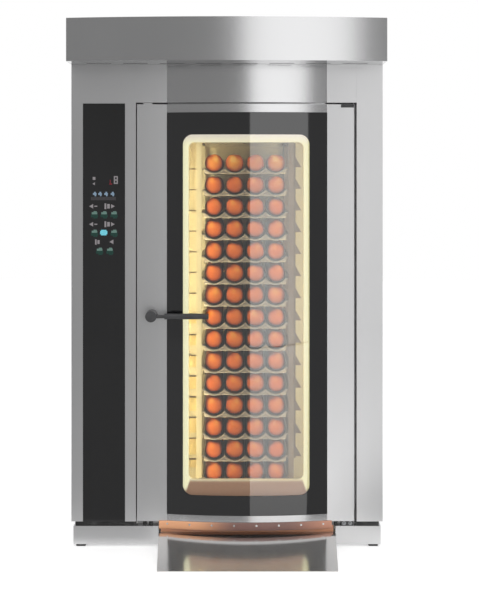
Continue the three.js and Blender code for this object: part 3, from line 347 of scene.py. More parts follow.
def perforated_aluminium(name, hole_pitch=0.008, hole_radius=0.0022):
    """Baguette tray sheet: dull aluminium with rows of small holes, browned by use."""
    made = Finish(name)
    across = (made.axis("X").repeat(hole_pitch) - hole_pitch / 2) ** 2.0
    along = (made.axis("Y").repeat(hole_pitch) - hole_pitch / 2) ** 2.0
    hole = (across + along) < hole_radius**2
    browned = made.noise(13.0, 4.0, 0.6, stretch=(1, 0.3, 1))
    grain = made.noise(90.0, stretch=(1, 0.1, 1))
    sheet = made.mix(browned.step(0.35, 0.75), (0.58, 0.57, 0.55), (0.30, 0.24, 0.18))
    colour = made.mix(hole, sheet, (0.02, 0.02, 0.02))
    return made.finished(
        Base_Color=colour,
        Metallic=1.0 - hole,
        Roughness=grain * 0.2 + 0.28 + hole * 0.4,
        Normal=made.bump(1.0 - hole, 0.0003, 0.6),
    )


# ---------------- glass, rubber, light


def outside_window(made, margin=0.0):
    """Distance from the edge of the clear window, below 0 inside it, in metres."""
    across, up = (made.axis("X") - window_x).size(), (made.axis("Z") - window_z).size()
    reach_x = (across - (window_half_x - window_corner + margin)).at_least(0.0)
    reach_z = (up - (window_half_z - window_corner + margin)).at_least(0.0)
    return (reach_x * reach_x + reach_z * reach_z) ** 0.5 - window_corner


def bordered_glass(name):
    """Door glass with a black printed border round a clear window."""
    made = Finish(name)
    head_on = ((coated_glass - 1.0) / (coated_glass + 1.0)) ** 2  # share mirrored when seen square on
    smears = made.noise(3.1, 4.0, 0.6, stretch=(1, 1, 0.35))
    black = made.principled(
        Base_Color=made.mix(smears, (0.004, 0.004, 0.0045), (0.007, 0.007, 0.008)),
        Roughness=smears * 0.05 + 0.015,
        IOR=coated_glass,
    )
    clear = made.node("BsdfTransparent", {}, {"Color": (0.965, 0.975, 0.965)})
    mirror = made.node("BsdfGlossy", {}, {"Color": (1.0, 1.0, 1.0), "Roughness": 0.02})
    facing = made.node("LayerWeight", {}, {"Blend": 0.5}, out=1)
    share = facing**5.0 * (1.0 - head_on) + head_on
    pane = made.node("MixShader", {}, {0: share, 1: clear, 2: mirror})
    border = outside_window(made) > 0.0
    return made.done(made.node("MixShader", {}, {0: border, 1: pane, 2: black}))


def plain_glass(name):
    """Inner pane: clear, with a faint film from baking towards its edges."""
    made = Finish(name)
    film = made.noise(5.0, 4.0, 0.6, stretch=(1, 1, 0.5))
    edge = outside_window(made, -0.03).step(-0.03, 0.03)
    clear = made.node("BsdfTransparent", {}, {"Color": (0.975, 0.975, 0.955)})
    mirror = made.node("BsdfGlossy", {}, {"Color": (1.0, 0.99, 0.97), "Roughness": 0.03})
    share = edge * film * 0.05 + 0.02
    return made.done(made.node("MixShader", {}, {0: share, 1: clear, 2: mirror}))


def black_panel_glass(name):
    """Glass over the controls: black from behind, smooth, with wiping marks."""
    made = Finish(name)
    smears = made.noise(4.0, 4.0, 0.6, stretch=(1, 1, 0.3))
    return made.finished(
        Base_Color=made.mix(smears, (0.014, 0.014, 0.014), (0.020, 0.020, 0.021)),
        Roughness=smears * 0.06 + 0.06,
        IOR=1.5,
    )


def silicone(name, tone, roughness):
    """Moulded rubber with fine dust and worn patches."""
    made = Finish(name)
    dust = made.noise(19.0, 4.0, 0.6)
    skin = made.noise(260.0, 2.0)
    return made.finished(
        Base_Color=made.mix(dust.step(0.4, 0.8), tone, dusted(tone, 0.5, 0.12)),
        Roughness=dust * 0.2 + roughness - 0.1,
        Normal=made.bump(skin, 0.00005, 0.4),
    )


def glowing_frame(name):
    """Light strip round the window: lit at both sides and the top, brown steel at the foot with a faint
    painted glow.
    """
    made = Finish(name)
    x, z = made.axis("X"), made.axis("Z")
    frost = made.noise(70.0)
    corner = (x - window_x).size().step(0.250, 0.272)  # the unlit foot lies lower at both corners
    lit = (z + corner * 0.045).step(0.286, 0.314)
    top = z.step(1.80, 1.86)
    left_to_right = made.mix(x.step(-0.1, 0.3), (0.92, 0.88, 0.56), (0.70, 0.63, 0.33))
    side = made.mix(top, left_to_right, (0.76, 0.66, 0.62))
    foot = made.mix(frost, (0.35, 0.165, 0.085), (0.42, 0.22, 0.12))
    cover = made.mix(frost, (0.50, 0.46, 0.32), (0.58, 0.54, 0.40))
    glow = made.mix(frost * 0.12, side, (0.70, 0.62, 0.36))
    return made.finished(
        Base_Color=made.mix(lit, foot, cover),
        Roughness=frost * 0.2 + 0.35,
        # The unlit foot still glows faintly: painted light.
        Emission_Color=made.mix(lit, (0.10, 0.045, 0.02), glow),
        Emission_Strength=0.80,
        Normal=made.bump(frost, 0.0001, 0.3),
    )


def lit_mark(name, tone, strength):
    """Backlit sign behind the black glass, a little uneven like every small lamp."""
    made = Finish(name)
    uneven = made.noise(160.0, 2.0)
    return made.finished(
        Base_Color=made.mix(uneven, scaled(tone, 0.2), scaled(tone, 0.3)),
        Roughness=uneven * 0.1 + 0.2,
        Emission_Color=made.mix(uneven, scaled(tone, 0.62), tone),
        Emission_Strength=strength,
    )


def mineral_wool(name):
    """Faced insulation slab: woven glass cloth over wool."""
    made = Finish(name)
    thread = 0.006
    across, up = (made.axis(axis).repeat(thread) / thread for axis in "XZ")
    cloth = (across - 0.5).size() + (up - 0.5).size()
    wool = made.noise(34.0, 6.0, 0.7)
    return made.finished(
        Base_Color=made.mix(wool * 0.7 + cloth * 0.25, (0.42, 0.36, 0.22), (0.72, 0.66, 0.48)),
        Roughness=wool * 0.2 + 0.75,
        Normal=made.bump(wool * 0.7 + cloth * 0.3, 0.0008, 0.6),
    )


def crust(name):
    """Crust of the loaves, dark, orange brown or golden after the value stored on each point, which holds
    painted light and shade as well as the browning.
    """
    made = Finish(name)
    cells = made.noise(28.0, 5.0, 0.65)
    blisters = made.noise(150.0, 3.0, 0.6)
    drift = made.noise(6.0, 2.0, stretch=(1, 0.6, 1))
    # This value holds painted light and shade of the loaves as well as their browning.
    bake_and_light_level = made.node("Attribute", {"attribute_name": "bake"}, out="Fac")
    tone = bake_and_light_level + (cells - 0.5) * 0.35 + (drift - 0.5) * 0.25
    stops = [
        (0.0, (0.034, 0.011, 0.006)),
        (0.22, (0.16, 0.032, 0.009)),
        (0.48, (0.50, 0.084, 0.011)),
        (0.72, (0.64, 0.152, 0.018)),
        (0.90, (0.74, 0.29, 0.045)),
        (1.0, (0.82, 0.46, 0.12)),
    ]
    colour = made.node("ValToRGB", {"stops": stops}, {0: tone})
    return made.finished(
        Base_Color=colour,
        Roughness=cells * 0.25 + 0.42,
        Specular_IOR_Level=0.28,
        Normal=made.bump(cells * 0.6 + blisters * 0.4, 0.0012, 0.6),
    )


# ---------------- shape tools


def bulge(x):
    """How far the bowed door stands out of the flat front at x."""
    reach = abs(x - bulge_x)
    if reach >= bulge_half:
        return 0.0
    return math.sqrt(bulge_radius**2 - reach**2) - (bulge_radius - bulge_rise)


def unique(parts):
    """Each part once and in its order, which a set would lose."""
    return list(dict.fromkeys(parts))


def soften(mesh, edges, round_edge):
    """Rounds edges off."""
    geom = unique(edges)
    bmesh.ops.bevel(
        mesh, geom=geom, offset=round_edge, segments=2, profile=0.5, affect="EDGES", material=-1
    )


def block(mesh, low, high, round_edge=0.0):
    """Adds a box between two corners, with its edges rounded."""
    low, high = Vector(low), Vector(high)
    matrix = Matrix.Translation((low + high) / 2) @ Matrix.Diagonal((*(high - low), 1.0))
    made = bmesh.ops.create_cube(mesh, size=1.0, matrix=matrix)
    if round_edge:
        soften(mesh, (edge for vertex in made["verts"] for edge in vertex.link_edges), round_edge)


def rod(mesh, start, end, radius, sides, end_radius=None, round_edge=0.0):
    """Adds a round bar from start to end, or a cone if end_radius is given."""
    start, end = Vector(start), Vector(end)
    turn = (end - start).to_track_quat("Z", "Y").to_matrix().to_4x4()
    made = bmesh.ops.create_cone(
        mesh,
        cap_ends=True,
        segments=sides,
        radius1=radius,
        radius2=radius if end_radius is None else end_radius,
        depth=(end - start).length,
        matrix=Matrix.Translation((start + end) / 2) @ turn,
    )
    if round_edge:
        faces = unique(face for vertex in made["verts"] for face in vertex.link_faces)
        caps = [face for face in faces if len(face.verts) > 4]
        soften(mesh, (edge for face in caps for edge in face.edges), round_edge)


def collar(mesh, centre, axis, inner, outer, thickness, sides):
    """Adds a flat ring that stands on centre and rises along axis."""
    centre, axis = Vector(centre), Vector(axis).normalized()
    side = axis.orthogonal().normalized()
    profile = ((inner, 0), (outer, 0), (outer, thickness), (inner, thickness))
    corners = [mesh.verts.new(centre + side * reach + axis * rise) for reach, rise in profile]
    edges = [mesh.edges.new((corners[i - 1], corners[i])) for i in range(4)]
    bmesh.ops.spin(mesh, geom=edges, cent=centre, axis=axis, angle=math.tau, steps=sides, use_merge=True)


def nut(mesh, place, outward, radius, height):
    """Adds a six-sided nut with chamfered corners, standing on place."""
    place, outward = Vector(place), Vector(outward)
    rod(mesh, place, place + outward * height, radius, 6, round_edge=radius * 0.1)


def screw(mesh, place, outward, radius):
    """Adds a domed screw head on a washer."""
    place, outward = Vector(place), Vector(outward)
    rod(mesh, place, place + outward * 0.0008, radius * 1.5, 16)
    rod(mesh, place + outward * 0.0007, place + outward * radius * 0.7, radius, 14, radius * 0.62)


def prism(mesh, corners, front, back):
    """Adds a plate between two depths, from its corners (x, z)."""
    face = mesh.faces.new([mesh.verts.new((x, front, z)) for x, z in corners])
    pushed = bmesh.ops.extrude_face_region(mesh, geom=[face])["geom"]
    moved = [part for part in pushed if isinstance(part, bmesh.types.BMVert)]
    bmesh.ops.translate(mesh, verts=moved, vec=(0, back - front, 0))


def bent_strip(mesh, low, high, thickness, bend, steps=56):
    """Adds a thin strip between two corners of an upright plane, or of a level one, and bends it."""
    low, high = Vector(low), Vector(high)
    size = (high - low) / 2
    upright = abs(size.z) > abs(size.y)
    turn = Matrix.Rotation(math.radians(90), 4, "X") if upright else Matrix.Identity(4)
    scale = Matrix.Diagonal((size.x, size.z if upright else size.y, 1.0, 1.0))
    place = Matrix.Translation((low + high) / 2) @ turn @ scale
    made = bmesh.ops.create_grid(mesh, x_segments=steps, y_segments=4, size=1.0, matrix=place)
    for vertex in made["verts"]:
        vertex.co = bend(vertex.co.copy())
    faces = unique(face for vertex in made["verts"] for face in vertex.link_faces)
    bmesh.ops.solidify(mesh, geom=faces, thickness=thickness)


def to_object(name, mesh, finish):
    """Turns a bmesh into an object of the scene."""
    data = bpy.data.meshes.new(name)
    mesh.to_mesh(data)
    mesh.free()
    data.materials.append(finish)
    made = bpy.data.objects.new(name, data)
    bpy.context.scene.collection.objects.link(made)
    return made


def piece(name, mesh, finish, body, smooth=True):
    """Turns a bmesh into a finished piece that rides on a body."""
    bmesh.ops.remove_doubles(mesh, verts=mesh.verts, dist=1e-6)
    bmesh.ops.recalc_face_normals(mesh, faces=mesh.faces)
    made = to_object(name, mesh, finish)
    for face in made.data.polygons:
        face.use_smooth = smooth
    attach(made, body)


# ---------------- finishes of the CAD nodes

steel_tone = (0.64, 0.64, 0.645)
upright_grain = (900.0, 900.0, 1.6)
level_grain = (1.6, 900.0, 900.0)
deep_grain = (900.0, 1.6, 900.0)

front_steel = brushed_steel("front_steel", steel_tone, upright_grain, 0.36, bowed=0.18)
hood_steel = brushed_steel("hood_steel", steel_tone, level_grain, 0.18)
side_steel = brushed_steel("side_steel", steel_tone, upright_grain, 0.33)
back_steel = brushed_steel("back_steel", (0.60, 0.60, 0.61), upright_grain, 0.40)
ramp_steel = polished_plate("ramp_steel")
plinth_steel = brushed_steel("plinth_steel", (0.67, 0.67, 0.675), level_grain, 0.34)
chamber_steel = brushed_steel(
    "chamber_steel", (0.84, 0.77, 0.62), deep_grain, 0.42, 0.00003, (0.72, 0.58, 0.36)
)
# The rack's side on the right gets painted shade.
rack_steel = brushed_steel(
    "rack_steel", (0.74, 0.69, 0.58), upright_grain, 0.50, 0.00002, (0.62, 0.52, 0.38),
    painted_right_shade=(0.19, 0.13, 0.12),
)
floor_steel = brushed_steel("floor_steel", (0.56, 0.54, 0.50), deep_grain, 0.30, 0.00005, (0.40, 0.32, 0.22))
zinc = spangled_zinc("galvanised_sheet")
wool = mineral_wool("faced_wool")
sheath = oxidised_sheath("heater_sheath")
gear_steel = smooth_metal("gear_steel", (0.34, 0.35, 0.36), 0.34, 0.2, 45.0)
motor_grey = paint("motor_enamel", (0.085, 0.12, 0.17), 0.40)
caster_zinc = smooth_metal("caster_zinc", (0.62, 0.62, 0.60), 0.30, 0.15, 70.0)
tyre = silicone("wheel_resin", (0.045, 0.038, 0.034), 0.5)
tray_sheet = perforated_aluminium("baguette_tray")
fitting_black = paint("black_fitting", (0.042, 0.042, 0.045), 0.38, 300.0)
door_pane = bordered_glass("bordered_door_glass")
inner_pane = plain_glass("inner_door_glass")
panel_pane = black_panel_glass("control_panel_glass")
light_strip = glowing_frame("lit_window_frame")

wardrobe = (
    (plinth_steel, "base_frame"),
    (ramp_steel, "entry_ramp"),
    (floor_steel, "chamber_floor"),
    (side_steel, "side_panel_left side_panel_right"),
    (front_steel, "front_column_left front_column_right front_header door_shell"),
    (back_steel, "rear_panel"),
    (hood_steel, "hood_canopy hood_intake"),
    (zinc, "roof_panel vent_flue vent_flap"),
    (wool, "chamber_jacket"),
    (chamber_steel, "air_wall_left air_wall_right chamber_rear_wall chamber_ceiling"),
    (chamber_steel, "fan_wheel door_back"),
    (sheath, "heater_bank"),
    (motor_grey, "fan_motor drive_frame rack_gearmotor"),
    (gear_steel, "lift_carriage drive_pinion rack_spindle"),
    (rack_steel, "rack_frame"),
    (caster_zinc, "caster_fork_left caster_fork_right"),
    (tyre, "front_wheel_left front_wheel_right rear_wheel_left rear_wheel_right"),
    (panel_pane, "control_glass"),
    (door_pane, "door_glass"),
    (inner_pane, "door_inner_glass"),
    (light_strip, "door_light_frame"),
    (fitting_black, "hinge_top hinge_bottom door_handle"),
)
finishes = {node: finish for finish, nodes in wardrobe for node in nodes.split()}


def dress(node, finish):
    """Gives a CAD node its finish, and smooth shading between crisp edges. The bowed sheets have a
    shallow fold at each side of the bulge, which stays sharp."""
    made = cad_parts[node]
    made.data.materials.clear()
    made.data.materials.append(finish)
    for face in made.data.polygons:
        face.use_smooth = True
        face.material_index = 0
    weld = made.modifiers.new("weld", "WELD")
    weld.merge_threshold = 0.00001
    crisp = made.modifiers.new("crisp edges", "EDGE_SPLIT")
    crisp.split_angle = math.radians(8.0 if node in ("door_shell", "front_header") else 32.0)


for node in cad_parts:
    dress(node, finishes.get(node, tray_sheet))  # the trays aren't in the list

# ---------------- finishes of the small pieces

copper_lip = lip_rubber("copper_silicone")
brown_gasket = silicone("brown_silicone", (0.20, 0.10, 0.075), 0.5)
black_rubber = silicone("black_rubber", (0.012, 0.012, 0.012), 0.5)
bright_screws = smooth_metal("bright_screws", (0.72, 0.72, 0.71), 0.24, 0.10, 110.0)
# Its copper colour is a painted reflection of the warm glow under the door.
threshold_glow_rubber = silicone("threshold_glow_silicone", (0.50, 0.22, 0.12), 0.4)
# Dark brown steel for the louvres and the deflector teeth: painted shade.
shade_dark_steel = smooth_metal("shade_dark_steel", (0.30, 0.22, 0.18), 0.5, 0.15, 50.0, metallic=0.3)
# Golden steel for the blades below the lower louvres: painted shadow bands of the tiers.
shadow_band_steel = smooth_metal("shadow_band_gold", (0.96, 0.78, 0.44), 0.42, 0.08, 60.0, metallic=0.9)
rolled_edge = smooth_metal("rolled_aluminium", (0.44, 0.39, 0.38), 0.38, 0.08, 90.0, metallic=0.35)

# ---------------- door trim


def door_sweep_lip():
    """Silicone lip that hangs from the bottom rail of the door and follows its bow."""
    lip_y = casing_front - 0.0030
    low, high = (-0.306, lip_y, 0.0835), (0.471, lip_y, 0.1190)

    def hang(place):
        drop = (high[2] - place.z) / (high[2] - low[2])
        place.y -= bulge(place.x) + 0.003 * math.sin(drop * math.pi)
        return place

    mesh = bmesh.new()
    bent_strip(mesh, low, high, 0.0022, hang)
    piece("door_sweep_lip", mesh, copper_lip, "door")

    mesh = bmesh.new()
    for number in range(8):
        x = -0.268 + 0.1 * number
        screw(mesh, (x, casing_front - bulge(x) - 0.0056, 0.106), forwards, 0.0030)
    piece("door_sweep_screws", mesh, bright_screws, "door", False)


def door_glass_bead():
    """Thin black sealing line in the joint round the door glass."""
    mesh = bmesh.new()

    def follow(place):
        place.y -= bulge(place.x)
        return place

    y, wide = casing_front - 0.0001, 0.0007
    for z in (glass_low.z, glass_high.z):
        low, high = (glass_low.x, y, z - wide), (glass_high.x, y, z + wide)
        bent_strip(mesh, low, high, 0.0006, follow)
    for x in (glass_low.x, glass_high.x):
        low = (x - wide, casing_front - bulge(x) - 0.0006, glass_low.z)
        block(mesh, low, (x + wide, casing_front + 0.004, glass_high.z))
    piece("door_glass_bead", mesh, black_rubber, "door", True)


def door_top_tab():
    """Small steel tab that reaches up from the top edge of the door over the joint below the header."""
    centre_x, low_z, high_z = -0.3555, 1.9785, 1.9965
    foot, head = 0.013, 0.022  # half its width at the foot and at the head
    corners = [(centre_x - head, high_z), (centre_x - foot, low_z)]
    corners += [(centre_x + foot, low_z), (centre_x + head, high_z)]
    mesh = bmesh.new()
    prism(mesh, corners, casing_front - 0.0024, casing_front - 0.0003)
    piece("door_top_tab", mesh, front_steel, "door", False)


def door_hinge_cap():
    """Black cap on the corner of the door, just below the plate of the top hinge."""
    mesh = bmesh.new()
    block(mesh, (0.512, casing_front - 0.0028, 1.9760), (0.5705, casing_front - 0.0003, 1.9895), 0.001)
    piece("door_hinge_cap", mesh, fitting_black, "door", True)


def door_gasket():
    """Soft frame on the back of the door that presses on the edge of the opening."""
    left, right, low, high = -0.306, 0.486, 0.128, 1.947
    front, back = casing_front + 0.0890, casing_front + 0.0985
    half, rounding = 0.005, 0.0028
    mesh = bmesh.new()
    for x in (left, right):
        block(mesh, (x - half, front, low - half), (x + half, back, high + half), rounding)
    for z in (low, high):
        block(mesh, (left - 0.004, front, z - half), (right + 0.004, back, z + half), rounding)
    piece("door_gasket", mesh, brown_gasket, "door")


door_sweep_lip()
door_glass_bead()
door_top_tab()
door_hinge_cap()
door_gasket()

# ---------------- fittings


def base_fittings():
    """Black seal strip in the joint under the casing, a dark piece that stands in for the shade of that gap
    as painted shade;
    buffers under the door, rubber shoes on the floor and the screws of the bottom hinge."""
    joint_low, joint_high, joint_y = 0.0922, 0.1140, casing_front + 0.010
    # Painted shade: a black strip fills the gap under the casing so that it shows dark.
    mesh = bmesh.new()
    for low_x, high_x in ((-0.684, -0.409), (0.575, 0.684)):
        block(mesh, (low_x, joint_y, joint_low), (high_x, joint_y + 0.010, joint_high), 0.002)
    piece("joint_shadow_strip", mesh, black_rubber, "cabinet", True)

    half = 0.008
    mesh = bmesh.new()
    for x in (-0.371, -0.344, 0.490):
        block(mesh, (x - half, joint_y, joint_low), (x + half, joint_y + 0.020, joint_high), 0.003)
    piece("door_buffers", mesh, black_rubber, "cabinet", True)

    foot_x, inset, half_x, half_y = 0.6585, 0.022, 0.0215, 0.012
    mesh = bmesh.new()
    for x in (-foot_x, foot_x):
        for y in (casing_front + inset, rear_face - inset):
            block(mesh, (x - half_x, y - half_y, 0.0004), (x + half_x, y + half_y, 0.0098), 0.003)
    piece("foot_shoes", mesh, black_rubber, "cabinet", True)

    mesh = bmesh.new()
    for x in (0.527, 0.555):
        screw(mesh, (x, joint_y, 0.1040), forwards, 0.0060)
    piece("hinge_screws", mesh, gear_steel, "cabinet", False)


def casing_screws():
    """Screws that hold the rear panel, the roof and the back of the hood."""
    radius = 0.0045
    mesh = bmesh.new()
    for number in range(11):
        for x in (-0.676, 0.676):
            screw(mesh, (x, rear_face, 0.20 + 0.19 * number), backwards, radius)
    for number in range(6):
        for z in (0.136, 2.150):
            screw(mesh, (-0.55 + 0.22 * number, rear_face, z), backwards, radius)
    piece("rear_panel_screws", mesh, bright_screws, "cabinet", False)

    mesh = bmesh.new()
    roof_top, hood_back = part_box("roof_panel")[1].z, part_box("hood_canopy")[1].y
    for number in range(4):
        for x in (-0.680, 0.680):
            screw(mesh, (x, 0.230 + 0.165 * number, roof_top), upwards, radius)
    for number in range(7):
        screw(mesh, (-0.660 + 0.220 * number, hood_back, 2.190), backwards, radius)
    piece("roof_and_hood_screws", mesh, bright_screws, "cabinet", False)


def rear_fittings():
    """Nuts of the cable glands and the water inlet, and the sealing ring and nuts of the fan motor."""
    mesh = bmesh.new()
    for x, z, radius, length in (
        (-0.520, 1.960, 0.016, 0.0288), (-0.440, 1.960, 0.011, 0.022), (-0.520, 0.320, 0.014, 0.0364),
    ):
        nut(mesh, (x, rear_face, z), backwards, radius * 1.4, 0.008)
        nut(mesh, (x, rear_face + length * 0.62, z), backwards, radius * 1.2, length * 0.3)
    piece("gland_nuts", mesh, bright_screws, "cabinet", False)

    fan_x, fan_z, seal_rise = 0.082, 1.480, 0.003
    mesh = bmesh.new()
    collar(mesh, (fan_x, rear_face, fan_z), backwards, 0.094, 0.124, seal_rise, 40)
    piece("fan_motor_seal", mesh, brown_gasket, "cabinet")

    nuts, bolt_circle = 8, 0.115
    mesh = bmesh.new()
    for number in range(nuts):
        turn = math.tau * (number + 0.5) / nuts
        x, z = fan_x + bolt_circle * math.cos(turn), fan_z + bolt_circle * math.sin(turn)
        nut(mesh, (x, rear_face + seal_rise, z), backwards, 0.0065, 0.005)
    piece("fan_motor_nuts", mesh, bright_screws, "cabinet", False)


def drive_fittings():
    """Nuts on the guide posts and on the gear motor of the rack drive."""
    low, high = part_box("rack_gearmotor")
    mesh = bmesh.new()
    for x in (low.x + 0.010, high.x - 0.010):
        for y in (low.y + 0.012, low.y + 0.138):
            nut(mesh, (x, y, high.z - 0.0217), upwards, 0.0065, 0.005)
    piece("gearmotor_nuts", mesh, bright_screws, "carriage", False)

    low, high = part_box("drive_frame")
    middle_y, post_reach = (low.y + high.y) / 2, 0.150
    mesh = bmesh.new()
    for y in (middle_y - post_reach, middle_y + post_reach):
        nut(mesh, (0.062, y, high.z - 0.016), upwards, 0.019, 0.012)
    piece("post_nuts", mesh, bright_screws, "cabinet", False)


def caster_nuts(name, wheel, body):
    """Axle nuts on both cheeks of a castor."""
    low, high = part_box(wheel)
    y, z = (low.y + high.y) / 2, (low.z + high.z) / 2
    mesh = bmesh.new()
    for x, side in ((low.x - 0.0051, -1), (high.x + 0.0051, 1)):
        nut(mesh, (x, y, z), (side, 0, 0), 0.010, 0.0038)
    piece(name, mesh, bright_screws, body, False)


def chamber_fittings():
    """Seal along the threshold, its copper colour a painted reflection of the warm glow under the door; air
    inlet louvres and the air outlet with its deflector teeth, dark as painted shade; and golden blades below
    the lower louvres, painted shadow bands of the tiers."""
    mesh = bmesh.new()
    # Painted reflection: a copper strip in the gap under the door.
    block(mesh, (-0.298, casing_front - 0.0028, 0.0684), (0.478, casing_front - hair, 0.0990), 0.0008)
    piece("threshold_seal", mesh, threshold_glow_rubber, "cabinet")

    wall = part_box("chamber_rear_wall")[0].y
    seat = wall - hair
    top_louvre, louvre_pitch, plain_rows, blade_foot = 1.709, 0.1095, 7, 0.130
    louvres, blades = bmesh.new(), bmesh.new()
    for row in range(tiers):
        z = top_louvre - louvre_pitch * row
        block(louvres, (-0.215, wall - 0.010, z - 0.004), (-0.150, seat, z + 0.002), 0.0012)
        # The blades below the lower louvres are painted shadow bands, one for each tier.
        if row >= plain_rows:
            low_z = max(z - 0.009 - 0.006 * row, blade_foot)
            block(blades, (-0.213, wall - 0.006, low_z), (-0.122, seat, z - 0.0045), 0.0012)

    duct_left, duct_right, tooth_left, tooth_tip = 0.286, 0.352, 0.348, 0.382
    top_tooth, tooth_pitch, pitch_growth, tooth_rise = 1.7178, 0.1135, 0.0003, 0.060
    outlet = bmesh.new()
    block(outlet, (duct_left, wall - 0.0060, 0.180), (duct_right, seat, 1.845), 0.0015)
    for row in range(tiers - 1):
        z = top_tooth - (tooth_pitch + pitch_growth * row) * row
        corners = [(tooth_left, z), (tooth_tip, z), (tooth_left, z + tooth_rise)]
        prism(outlet, corners, wall - 0.012, seat)
    piece("air_inlet_louvres", louvres, shade_dark_steel, "cabinet", False)
    piece("tier_shadow_blades", blades, shadow_band_steel, "cabinet", False)
    piece("air_outlet_deflectors", outlet, shade_dark_steel, "cabinet", False)


def tray_edges(number):
    """Rolled edges across the front and the back of a tray over its four channels, and the end plates
    below them, straight at the foot."""
    low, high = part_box(f"tray_{number:02d}")
    middle, reach = (low.x + high.x) / 2, 2 * channel_pitch
    half_plate, half_roll, steps = 0.0015, 0.004, 16
    z, foot_z = low.z + channel_depth - 0.001, low.z - 0.004

    def follow(place):
        across = (place.x - middle + reach) % channel_pitch - channel_pitch / 2
        if abs(place.x - middle) < reach:
            place.z += channel_radius - channel_depth - math.sqrt(channel_radius**2 - across**2)
        return place

    mesh = bmesh.new()
    for y in (low.y + half_plate, high.y - half_plate):
        bent_strip(mesh, (low.x, y - half_roll, z), (high.x, y + half_roll, z), 0.0060, follow, 72)
        stations = [middle + channel_pitch * step / steps for step in range(-2 * steps, 2 * steps + 1)]
        wave = [follow(Vector((x, y, z))) for x in stations]
        foot = [(wave[-1].x, foot_z), (wave[0].x, foot_z)]
        prism(mesh, foot + [(place.x, place.z) for place in wave], y - half_plate, y + half_plate)
    piece(f"tray_edges_{number:02d}", mesh, rolled_edge, "rack", True)


base_fittings()
chamber_fittings()
casing_screws()
rear_fittings()
drive_fittings()
for side in ("left", "right"):
    caster_nuts(f"front_axle_nuts_{side}", f"front_wheel_{side}", f"fork_{side}")
    caster_nuts(f"rear_axle_nuts_{side}", f"rear_wheel_{side}", "rack")
for tier in range(1, tiers + 1):
    tray_edges(tier)

# ---------------- bread

crust_finish = crust("baked_crust")


def loaf_mesh(paleness):
    """One long loaf with rounded ends, lying along Y, with slashes across its top."""
    mesh = bmesh.new()
    turn = Matrix.Rotation(math.radians(90), 4, "X")
    bmesh.ops.create_uvsphere(mesh, u_segments=24, v_segments=16, radius=1.0, matrix=turn)
    half = loaf_length / 2 - loaf_cap
    for vertex in mesh.verts:
        x, y, z = vertex.co
        square = 0.82 if z > 0 else 0.90  # a power under 1 squares up the round section
        vertex.co.x = math.copysign(abs(x) ** square, x) * loaf_width / 2
        vertex.co.z = math.copysign(abs(z) ** square, z) * loaf_height / 2
        end = 0.0 if abs(y) < 1e-4 else math.copysign(half, y)
        vertex.co.y = math.copysign(abs(y) ** 0.7, y) * loaf_cap + end
    slices, slash_pitch = 24, 0.094
    for step in range(1, slices):
        cut = -half + step * half * 2 / slices
        geom = list(mesh.verts) + list(mesh.edges) + list(mesh.faces)
        bmesh.ops.bisect_plane(mesh, geom=geom, plane_co=(0, cut, 0), plane_no=(0, 1, 0))
    # The stored value holds browning and light. The top and the middle of each end are made paler, which is
    # painted light, so the sides, the underside and the rim of each end stay dark, which is painted shade.
    # Slashes are paler where they open.
    bake = mesh.verts.layers.float.new("bake")  # 0 is dark and 1 is pale
    for vertex in mesh.verts:
        x, y, z = vertex.co
        top = max(0.0, z / (loaf_height / 2))
        slash = abs(((y + 0.9 * x + 1.0) % slash_pitch) - slash_pitch / 2) / (slash_pitch / 2)
        opened = top * max(0.0, 1.0 - slash * 2.2)
        rim = math.hypot(x / (loaf_width / 2), z / (loaf_height / 2))
        face = max(0.0, 1.0 - rim**4) if abs(y) > half - 0.001 else 0.0
        vertex.co.z += 0.004 * opened - 0.003 * top * (1.0 if 0.45 < slash < 0.62 else 0.0)
        vertex[bake] = 0.06 + paleness + 0.26 * top + 0.34 * opened + 0.60 * face * (1.0 - 0.2 * top)
    return mesh


def bake_loaves(number):
    """Four loaves in the channels of a tray, each a little different, and paler on the top tier."""
    low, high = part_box(f"tray_{number:02d}")
    lift = 0.0044 + loaf_height / 2
    mesh = bmesh.new()
    for column, offset in enumerate(loaf_columns):
        wobble = math.sin(number * 2.3 + column * 4.1)
        loaf = loaf_mesh(0.05 * wobble + (0.16 if number == tiers else 0.0))
        centre = Vector(((low.x + high.x) / 2 + offset, (low.y + high.y) / 2, low.z + lift))
        size = Matrix.Diagonal((1.0 + 0.02 * wobble, 1.0 - 0.012 * wobble, 1.0 + 0.015 * wobble, 1.0))
        turned = Matrix.Rotation(math.pi if (number + column) % 2 else 0.0, 4, "Z")
        loaf.transform(Matrix.Translation(centre) @ turned @ size)
        copy = bpy.data.meshes.new("loaf")
        loaf.to_mesh(copy)
        loaf.free()
        mesh.from_mesh(copy)
        bpy.data.meshes.remove(copy)
    piece(f"loaves_tier_{number:02d}", mesh, crust_finish, "rack")


for tier in range(1, tiers + 1):
    bake_loaves(tier)

# ---------------- lit signs of the control strip

sign_white = lit_mark("sign_white", (0.27, 0.25, 0.26), 0.85)
sign_blue = lit_mark("sign_blue", (0.21, 0.30, 0.40), 0.9)
sign_teal = lit_mark("sign_teal", (0.010, 0.044, 0.034), 0.9)
sign_mint = lit_mark("sign_mint", (0.12, 0.21, 0.18), 0.9)
sign_cyan = lit_mark("sign_cyan", (0.17, 0.62, 0.74), 0.9)
sign_red = lit_mark("sign_red", (0.18, 0.02, 0.03), 0.9)
sign_grey = lit_mark("sign_grey", (0.045, 0.042, 0.045), 0.9)

sign_face = control_face - 0.0003

# Which of the seven strokes make each figure, in the order that figure() places them
strokes = {1: "0010010", 8: "1111111"}


def sign(mesh, x, z, width, height):
    """A flat lit area on the glass."""
    block(mesh, (x - width / 2, sign_face, z - height / 2), (x + width / 2, control_face, z + height / 2))


